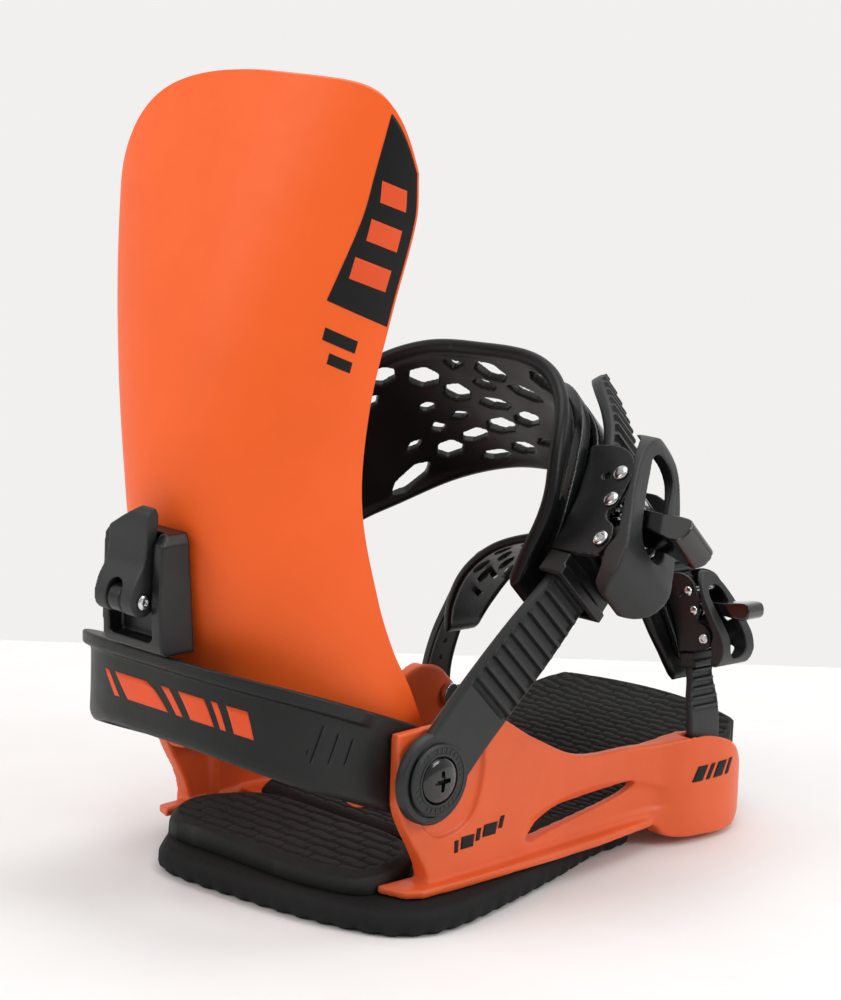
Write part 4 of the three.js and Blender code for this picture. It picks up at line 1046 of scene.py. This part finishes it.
def toe_ladder():
    width = profile((0, 7.5), (0.05, 9), (0.22, 9), (0.32, 7), (0.8, 6.6), (0.94, 5.4), (0.98, 3.4), (1, 1.2))
    strap = ladder(Curve(TOE_LADDER_POINTS), width, 2.9, 3.4, 16, 112, toe_space)
    piece(bevelled(strap, 0.2, 2, 45), "toe_ladder_strap", "toe_ladder", LADDER, "grey_plastic", "toe_ladder")


def polygon_hole(path, at, across, length, width, turn, place, high=9, sides=6):
    """A cutter through a pad: a long polygon at a distance along the path."""
    c, s = cos_sin(turn * RAD)
    rings = []
    for offset in (-9, high):
        grow = 1.06 if offset > 0 else 1
        ring = []
        for k in range(sides):
            angle = 2 * math.pi * k / sides
            a, b = 0.5 * length * math.cos(angle), 0.5 * width * math.sin(angle)
            share = (at + (a * c - b * s) * grow) / path.length
            ring.append(along_path(path, share, across + (a * s + b * c) * grow, offset, place))
        rings.append(ring)
    return loft("hole", rings)


# Each hole: distance along the pad, distance across it, length, width, turn in degrees and sides.
ANKLE_HOLES = [
    (73, 27, 11, 9, 10, 6), (87, 20, 13, 11, 0, 6), (103.5, 25.5, 11, 7, 8, 3), (120, 23, 14, 11, -6, 6),
    (96, 9.5, 11, 10, 0, 6), (131, 12.5, 15, 7, -25, 6), (110, 3, 15, 6.5, 0, 6), (80, 5, 7, 5, 10, 6),
    (90, -3, 9, 4.5, 5, 4), (78.5, -6.5, 7, 6, 0, 4), (90, -15, 13, 7, 12, 6), (105, -10.5, 15, 9, 14, 6),
    (121, -4.5, 15, 8, 24, 6), (77, -18.5, 11, 9, 0, 6), (93, -27.5, 13, 6, 0, 6), (108, -23.5, 12, 7, 10, 6),
    (57, -23, 20, 8, 12, 6), (135, -15, 13, 9, 20, 6), (112, 14.5, 10, 6, -10, 6), (122, -18, 10, 5, 20, 4),
    (147, 24, 13, 10, 6, 6), (150, 3, 13, 8, 0, 6), (150, -25, 13, 8, -6, 6), (164, 13, 12, 8, 10, 6),
    (165, -9, 12, 7, -8, 6), (184, 21.5, 40, 7, -7, 10), (180, 2, 11, 7, 0, 6), (178, -23, 9, 6, 0, 6),
    (63, 18, 9, 5, 20, 4), (66, -10, 9, 4, 10, 4),
]


def pad_solid(path, half_width, wall, place, steps, holes, curl):
    """A moulded band with a thick rounded rim, pierced by holes. curl turns its rear edge inwards."""
    def skin(t, across):
        side = abs(across)
        end = min(t, 1 - t) * path.length
        rim = max(smoothstep(0.8, 0.9, side), smoothstep(6, 3, end))
        thick = wall * mix(0.62, 1.0, rim) * math.sqrt(max(0.02, 1 - max(0, (side - 0.9) / 0.1) ** 2))
        thick *= math.sqrt(max(0.05, min(1, end / 2.4)))
        shift = -curl * smoothstep(0.3, 1, across) * smoothstep(0.58, 0.78, t) * smoothstep(0.99, 0.86, t)
        return 0.5 * thick + shift, -0.5 * thick + shift

    pad = strap_solid("pad", path, half_width, skin, place, steps, 44)
    carve(pad, *[polygon_hole(path, *hole[:5], place, sides=hole[5]) for hole in holes])
    return pad


def ankle_pad():
    path = Curve(ANKLE_PAD_POINTS)
    half = profile((0, 14), (0.12, 26), (0.3, 35), (0.5, 37), (0.7, 37), (0.82, 34), (0.92, 22), (1, 12))
    pad = pad_solid(path, half, 5.5, ankle_space, 170, ANKLE_HOLES, 6)
    # The clamp plate sits in a shallow seat on the inner side.
    carve(pad, polygon_hole(path, 37.6, 0, 21, 15, 0, ankle_space, high=-1.5, sides=14))
    moulded(pad, 0.6, 3)
    piece(pad, "ankle_pad_band", "ankle_strap", PAD, "strap_rubber", "ankle_pad")


def toe_pad():
    path = Curve(TOE_PAD_POINTS)
    half = profile((0, 9), (0.1, 15), (0.25, 20), (0.5, 22), (0.75, 22.5), (0.87, 19.5), (0.95, 12), (1, 6))
    holes = []
    for row, across in enumerate((-12, -4, 4, 12)):
        for k in range(9):
            at = 28 + k * 13 + 6.5 * (row % 2)
            if at < 118:
                holes.append((at, across, 8.5, 5.2, 12 * (-1) ** row, 6))
    pad = pad_solid(path, half, 3.6, toe_space, 120, holes, 0)
    moulded(pad, 0.5, 3)
    piece(pad, "toe_pad_band", "toe_strap", PAD, "strap_rubber", "toe_pad")


def frame_band(path, half_width, wall, place, slots, rim):
    """The frame over a pad: a thin shell with a raised border and a raised spine, cut by slots."""
    def skin(t, across):
        border = smoothstep(0.74, 0.86, abs(across))
        spine = smoothstep(0.2, 0.1, abs(across))
        lift = rim * max(border, 0.8 * spine) * smoothstep(0, 0.06, min(t, 1 - t))
        return 0.5 * wall + lift, -0.5 * wall

    band = strap_solid("frame", path, half_width, skin, place, 120, 44)
    cutters = []
    for at, across, length, width, turn in slots:
        cutters.append(polygon_hole(path, at, across, length, width, turn, place, sides=14))
    carve(band, *cutters)
    return band


def ankle_frame():
    path = Curve(ANKLE_FRAME_POINTS)
    half = profile((0, 6), (0.08, 12), (0.25, 17.5), (0.5, 19.3), (0.75, 17), (0.92, 12), (1, 9))
    slots = [(42, 10.5, 44, 6.2, 3), (42, -10.5, 44, 6.2, -3), (72, 6.0, 18, 3.0, 0), (72, -6.0, 18, 3.0, 0)]
    band = frame_band(path, half, 2.4, ankle_space, slots, 1.6)
    moulded(band, 0.5, 3)
    piece(band, "ankle_frame_shell", "ankle_strap", FRAME, "black_plastic", "ankle_frame")


def toe_frame():
    path = Curve([toe_place(x, d) for x, d in ANKLE_FRAME_POINTS[1:]])
    half = profile((0, 5), (0.1, 8), (0.4, 11.6), (0.7, 10.6), (1, 6))
    band = frame_band(path, half, 1.56, toe_space, [(24, 6, 24, 3.4, 3), (24, -6, 24, 3.4, -3)], 1.0)
    moulded(band, 0.4, 3)
    piece(band, "toe_frame_shell", "toe_strap", FRAME, "black_plastic", "toe_frame")


def strap_link(points, half_width, wall, place, holes, hole_size):
    """A plain inner strap with a raised edge and a row of small square holes."""
    path = Curve(points)

    def skin(t, across):
        border = smoothstep(0.78, 0.88, abs(across))
        round_off = wall * (0.5 - 0.12 * smoothstep(0.93, 1, abs(across)))
        return round_off - 0.14 * wall * (1 - border), -round_off

    link = strap_solid("link", path, half_width, skin, place, 110, 24)
    for at in holes:
        carve(link, polygon_hole(path, at, 0, hole_size, hole_size, 45, place, sides=4))
    return link


def ankle_link():
    points = [(-65.8, 0), (-66, 20), (-68.5, 50), (-73.4, 78), (-74.3, 98), (-68.8, 113)]
    half = profile((0, 11), (0.5, 11), (0.92, 9.4), (0.97, 7.5), (1, 3))
    band = strap_link(points, half, 4, ankle_space, (32, 44, 56, 68, 80), 3.4)
    piece(bevelled(joined("link", band, ankle_boss(-1)), 0.25, 2, 45), "ankle_link_strap", "ankle_strap",
          LADDER, "grey_plastic", "ankle_link")


def toe_link():
    points = [(-TOE_ANCHOR, 0), (-63.4, 10), (-60.2, 24), (-55.4, 36), (-50.9, 45.5), (-43.6, 55),
              (-37.4, 62)]
    half = profile((0, 6.5), (0.06, 8), (0.6, 7.6), (0.93, 6.4), (0.97, 5), (1, 2))
    band = strap_link(points, half, 3, toe_space, (14, 21, 28, 35), 2.8)
    piece(bevelled(band, 0.2, 2, 45), "toe_link_strap", "toe_strap", LADDER, "grey_plastic", "toe_link")


# ---- ratchet buckles --------------------------------------------------------------------------

# Side views of the full-size buckle: x outwards, and distance up along the strap.
FLOOR_POINTS = [(67.8, 88.6), (67.5, 97), (65, 110.8), (60.8, 123.8), (57.4, 131)]
CHEEK_POINTS = [(58.6, 132.4), (70, 133.6), (77.5, 130.5), (81.6, 124), (82.8, 116), (83.2, 110.4),
                (81.4, 107.4), (82.8, 104.6), (87, 102.4), (89.6, 97), (88.4, 91.2), (84, 89.2), (70, 88.6)]
LEVER_OUTLINE = [(66, 144), (70, 148), (75, 145), (81, 133), (88, 118), (95, 104.5), (99, 95), (98.5, 86),
                 (93, 80), (90, 81), (91, 87), (90.5, 92), (92.4, 98), (90, 104.5), (86.5, 113), (83.6, 121),
                 (78, 131), (71, 141)]
LEG_OUTLINE = [(82.4, 93), (86, 91.6), (92, 88), (95, 90), (94, 103), (88, 104.8), (83.2, 100)]
RELEASE_OUTLINE = [(74.6, 110.4), (78, 107.4), (82.6, 108), (92, 108.4), (109, 105.6), (112, 108),
                   (111.4, 114), (94, 115.4), (84.4, 116), (80, 116.8), (76.6, 115.6), (75.2, 113.6),
                   (74, 112.6)]
# The lever's front view: distance up along the strap, and share of its greatest half width.
LEVER_SHARES = [(79, 0), (82, 0.6), (93, 0.94), (112, 1), (132, 0.9), (143, 0.52), (147.5, 0)]
PAWL_AT = (80, 112)
STOP_AT = (77, 123)


class Ratchet:
    """One buckle. at() scales and turns a full-size point, and place() puts it into the strap's space."""

    def __init__(self, strap, scale, at, half, place):
        self.strap, self.scale, self.at, self.place = strap, scale, at, place
        self.cheek_inner = half + 0.4
        self.cheek_outer = self.cheek_inner + 2 * scale
        self.lever_half = half + 4.5 * scale

    def spread(self, points):
        return [self.at(x, d) for x, d in points]

    def pair(self, name, outline, low, high):
        """A plate from low to high across the strap, and its mirror on the other side."""
        return [prism(name, outline, *ends, self.place) for ends in ((low, high), (-high, -low))]

    def turned(self, name, x, d, outline):
        """A piece turned about the line that crosses the strap at a full-size point."""
        a, b = self.at(x, d)
        start, end = Vector(self.place(a, b, 0)), Vector(self.place(a, b, 1))
        return lathe(name, outline, start, end - start, 32)

    def bore(self, x, d, radius):
        return self.turned("bore", x, d, [(radius * self.scale, -40), (radius * self.scale, 40)])

    def finish(self, obj, name, body, look, slot, node):
        piece(obj, f"{self.strap}_{name}", f"{self.strap}_{body}", look, slot, f"{self.strap}_{node}")

    def channel(self):
        wall = 1.6 * self.scale
        base = strap_solid("floor", Curve(self.spread(FLOOR_POINTS)), lambda t: self.cheek_outer,
                           lambda t, across: (wall / 2, -wall / 2), self.place, 60, 10)
        outline = self.spread(FLOOR_POINTS) + Curve(self.spread(CHEEK_POINTS)).outline(60)
        cheeks = self.pair("cheek", outline, self.cheek_inner, self.cheek_outer)
        for cheek in cheeks:
            carve(cheek, self.bore(71.5, 121, 1.5))
        base = moulded(joined("base", base, *cheeks), 0.42 * max(self.scale, 0.7), 2)
        self.finish(base, "ratchet_channel", "strap", BLACK, "black_plastic", "buckle_base")

    def pins(self):
        """Pins with domed heads. The axle's heads are flat, with a socket."""
        reach = self.cheek_outer + 0.3
        radius = 1.9 * self.scale
        head = radius * 1.5
        for node, at in (("buckle_axle", AXLE_AT), ("pawl_pin", PAWL_AT), ("stop_pin", STOP_AT)):
            dome = [(head * math.cos(k * 15 * RAD), reach + 0.35 + 0.95 * math.sin(k * 15 * RAD))
                    for k in range(6)]
            if node == "buckle_axle":
                dome = [(head, reach + 0.8), (head * 0.85, reach + 1.1), (head * 0.55, reach + 1.1),
                        (head * 0.5, reach + 0.5)]
            side = [(radius, 0), (radius, reach), (head, reach), (head, reach + 0.35)] + dome
            whole = [(r, -h) for r, h in reversed(side)] + side[1:]
            pin = bevelled(self.turned("pin", *at, whole), 0.12 * self.scale, 2, 40)
            self.finish(pin, f"{node}_turned", "strap", STEEL, "steel", node)

    def lever(self):
        """A bowed plate with a finger loop and two legs down to the axle."""
        half = self.lever_half
        body = prism("lever", smooth_outline(self.spread(LEVER_OUTLINE), 120), -half, half, self.place)
        front = [(self.at(0, d)[1], -half * share) for d, share in LEVER_SHARES] + [
            (self.at(0, d)[1], half * share) for d, share in reversed(LEVER_SHARES[1:-1])]
        low_x, high_x = self.at(30, 100)[0], self.at(140, 100)[0]
        common(body, prism("front", smooth_outline(front, 90), low_x, high_x, self.place, order="nab"))
        loop = rounded_box(self.at(0, 101)[1], self.at(0, 140)[1], -half * 0.5, half * 0.5, half * 0.42)
        carve(body, prism("loop", loop, low_x, high_x, self.place, order="nab"))
        legs = self.pair("leg", smooth_outline(self.spread(LEG_OUTLINE), 40),
                         self.cheek_inner - 2.9 * self.scale, self.cheek_inner - 0.4)
        body = moulded(joined("lever", body, *legs), 0.5 * max(self.scale, 0.7), 6)
        self.finish(body, "ratchet_lever", "lever", LEVER, "grey_plastic", "buckle_lever")

    def release(self):
        """The tab that lifts the pawl, wider at its tip."""
        root, tip = self.lever_half * 0.42 * 0.8, self.lever_half * 0.52
        body = prism("release", smooth_outline(self.spread(RELEASE_OUTLINE), 90), -tip, tip, self.place)
        root_x, tip_x = self.at(70, 112)[0], self.at(118, 112)[0]
        wedge = [(root_x, -root), (tip_x, -tip), (tip_x, tip), (root_x, root)]
        low_d, high_d = self.at(90, 80)[1], self.at(90, 140)[1]
        common(body, prism("wedge", wedge, low_d, high_d, self.place, order="anb"))
        carve(body, self.bore(*PAWL_AT, 2.2))
        moulded(body, 0.4 * max(self.scale, 0.7), 4)
        self.finish(body, "ratchet_release", "release", GLOSS, "gloss_black", "buckle_release")

    def keeper(self):
        """The clip that bridges the ladder where it enters: a bridge on two sides."""
        def outline(root):
            return self.spread([(root, 79.6), (78.8, 79.6), (78.8, 83), (77.6, 84), (77.6, 88), (root, 88)])

        bridge = prism("bridge", outline(75.8), -self.cheek_outer, self.cheek_outer, self.place)
        sides = self.pair("side", outline(68.2), self.cheek_inner, self.cheek_outer)
        clip = moulded(joined("keeper", bridge, *sides), 0.35 * max(self.scale, 0.8), 3)
        self.finish(clip, "keeper_clip", "strap", BLACK, "grey_plastic", "ladder_keeper")


def buckle(*sizes):
    ratchet = Ratchet(*sizes)
    ratchet.channel()
    ratchet.pins()
    ratchet.lever()
    ratchet.release()
    ratchet.keeper()


# ---- fasteners --------------------------------------------------------------------------------


def cross_recess(origin, axis, reach, depth):
    """A cutter for a cross recess: two crossed tapered bars."""
    turn = Vector(axis).to_track_quat("Z", "Y").to_matrix()
    base = Vector(origin)

    def place(a, b, n):
        return tuple(base + turn @ Vector((a, b, n)))

    bar = [(-reach, -0.7), (-0.9, -0.9), (0.9, -0.9), (reach, -0.7), (reach, 0.7), (0.9, 0.9), (-0.9, 0.9),
           (-reach, 0.7)]
    return [prism("bar", outline, -depth, 6, place) for outline in (bar, [(b, a) for a, b in bar])]


def ankle_bolt(label, side):
    dome = [(2.9, 52), (2.9, 68.3), (7.6, 68.3), (8, 68.7), (8, 69.3)]
    dome += [(8 * math.cos(k * 11 * RAD), 69.4 + 2.1 * math.sin(k * 11 * RAD)) for k in range(1, 8)]
    bolt = ankle_turned("bolt", dome, side, 56)
    for bar in cross_recess((side * 71.2, ANKLE_Y, ANKLE_Z), (side, 0, 0), 3.6, 1.6):
        carve(bolt, bar)
    piece(bevelled(bolt, 0.18, 2, 40), f"ankle_bolt_{label}_turned", "base", DARK, "dark_steel",
          f"ankle_bolt_{label}")


def ankle_washer(label, side):
    """A washer with plain raised blocks round it, in three groups."""
    loop = [(8.4, 68.3), (12.5, 68.3), (12.5, 69.3), (12, 69.8), (11.6, 69.8), (11.5, 69.5), (9.3, 69.5),
            (9.2, 69.85), (8.4, 69.85)]
    washer = ankle_turned("washer", loop, side, 72, closed=True)
    low, high = sorted((side * 69.4, side * 69.75))
    places = 30
    ticks = []
    for k in range(places):
        if k % 10 == 9:
            continue
        angle = 2 * math.pi * k / places
        c, s = cos_sin(angle)
        outline = [(ANKLE_Y + r * c - w * s, ANKLE_Z + r * s + w * c)
                   for r, w in ((9.7, -0.28), (11.1, -0.28), (11.1, 0.28), (9.7, 0.28))]
        ticks.append(prism("tick", outline, low, high, order="nab"))
    washer = joined("washer", washer, *ticks)
    piece(bevelled(washer, 0.1, 2, 50), f"ankle_washer_{label}_ring", "base", LADDER, "grey_plastic",
          f"ankle_washer_{label}")


CAD_FINISH = {
    "mounting_disc": BLACK, "hoop_screw_right": DARK, "hoop_screw_left": DARK, "lean_nut": STEEL,
    "ankle_nut_right": STEEL, "ankle_nut_left": STEEL, "ankle_link_plate": STEEL,
    "ankle_link_screw": STEEL, "ankle_release_spring": STEEL, "toe_release_spring": STEEL,
    "toe_bolt_right": STEEL, "toe_bolt_left": STEEL, "toe_link_button_1": DARK, "toe_link_button_2": DARK,
    "disc_screw_1": STEEL, "disc_screw_2": STEEL, "disc_screw_3": STEEL, "disc_screw_4": STEEL,
}


def dress_cad():
    """Small hardware keeps its CAD shape, with softened edges and a finished material."""
    for name, look in CAD_FINISH.items():
        node = frame["nodes"][name]
        node.data.materials.clear()
        node.data.materials.append(look)
        custom = node.data.attributes.get("custom_normal")
        if custom:
            node.data.attributes.remove(custom)
        weld = node.modifiers.new("weld", "WELD")
        weld.merge_threshold = 0.01 * MM
        bevelled(node, 0.25, 2, 32)


camera()
pale_floor()
softboxes()
backdrop()
gasket()
heel_pad()
footbed()
baseplate()
baseplate_prints()
heel_hoop()
hoop_prints()
highback()
highback_pad()
highback_prints()
lean_block()
lean_lever()
lean_hardware()
ankle_ladder()
toe_ladder()
ankle_pad()
toe_pad()
ankle_frame()
toe_frame()
ankle_link()
toe_link()
buckle("ankle", 1, lambda x, d: (x, d), 12.2, ankle_space)
buckle("toe", TOE_SCALE, toe_place, 7.4, toe_space)
for label, side in (("right", 1), ("left", -1)):
    ankle_bolt(label, side)
    ankle_washer(label, side)
dress_cad()
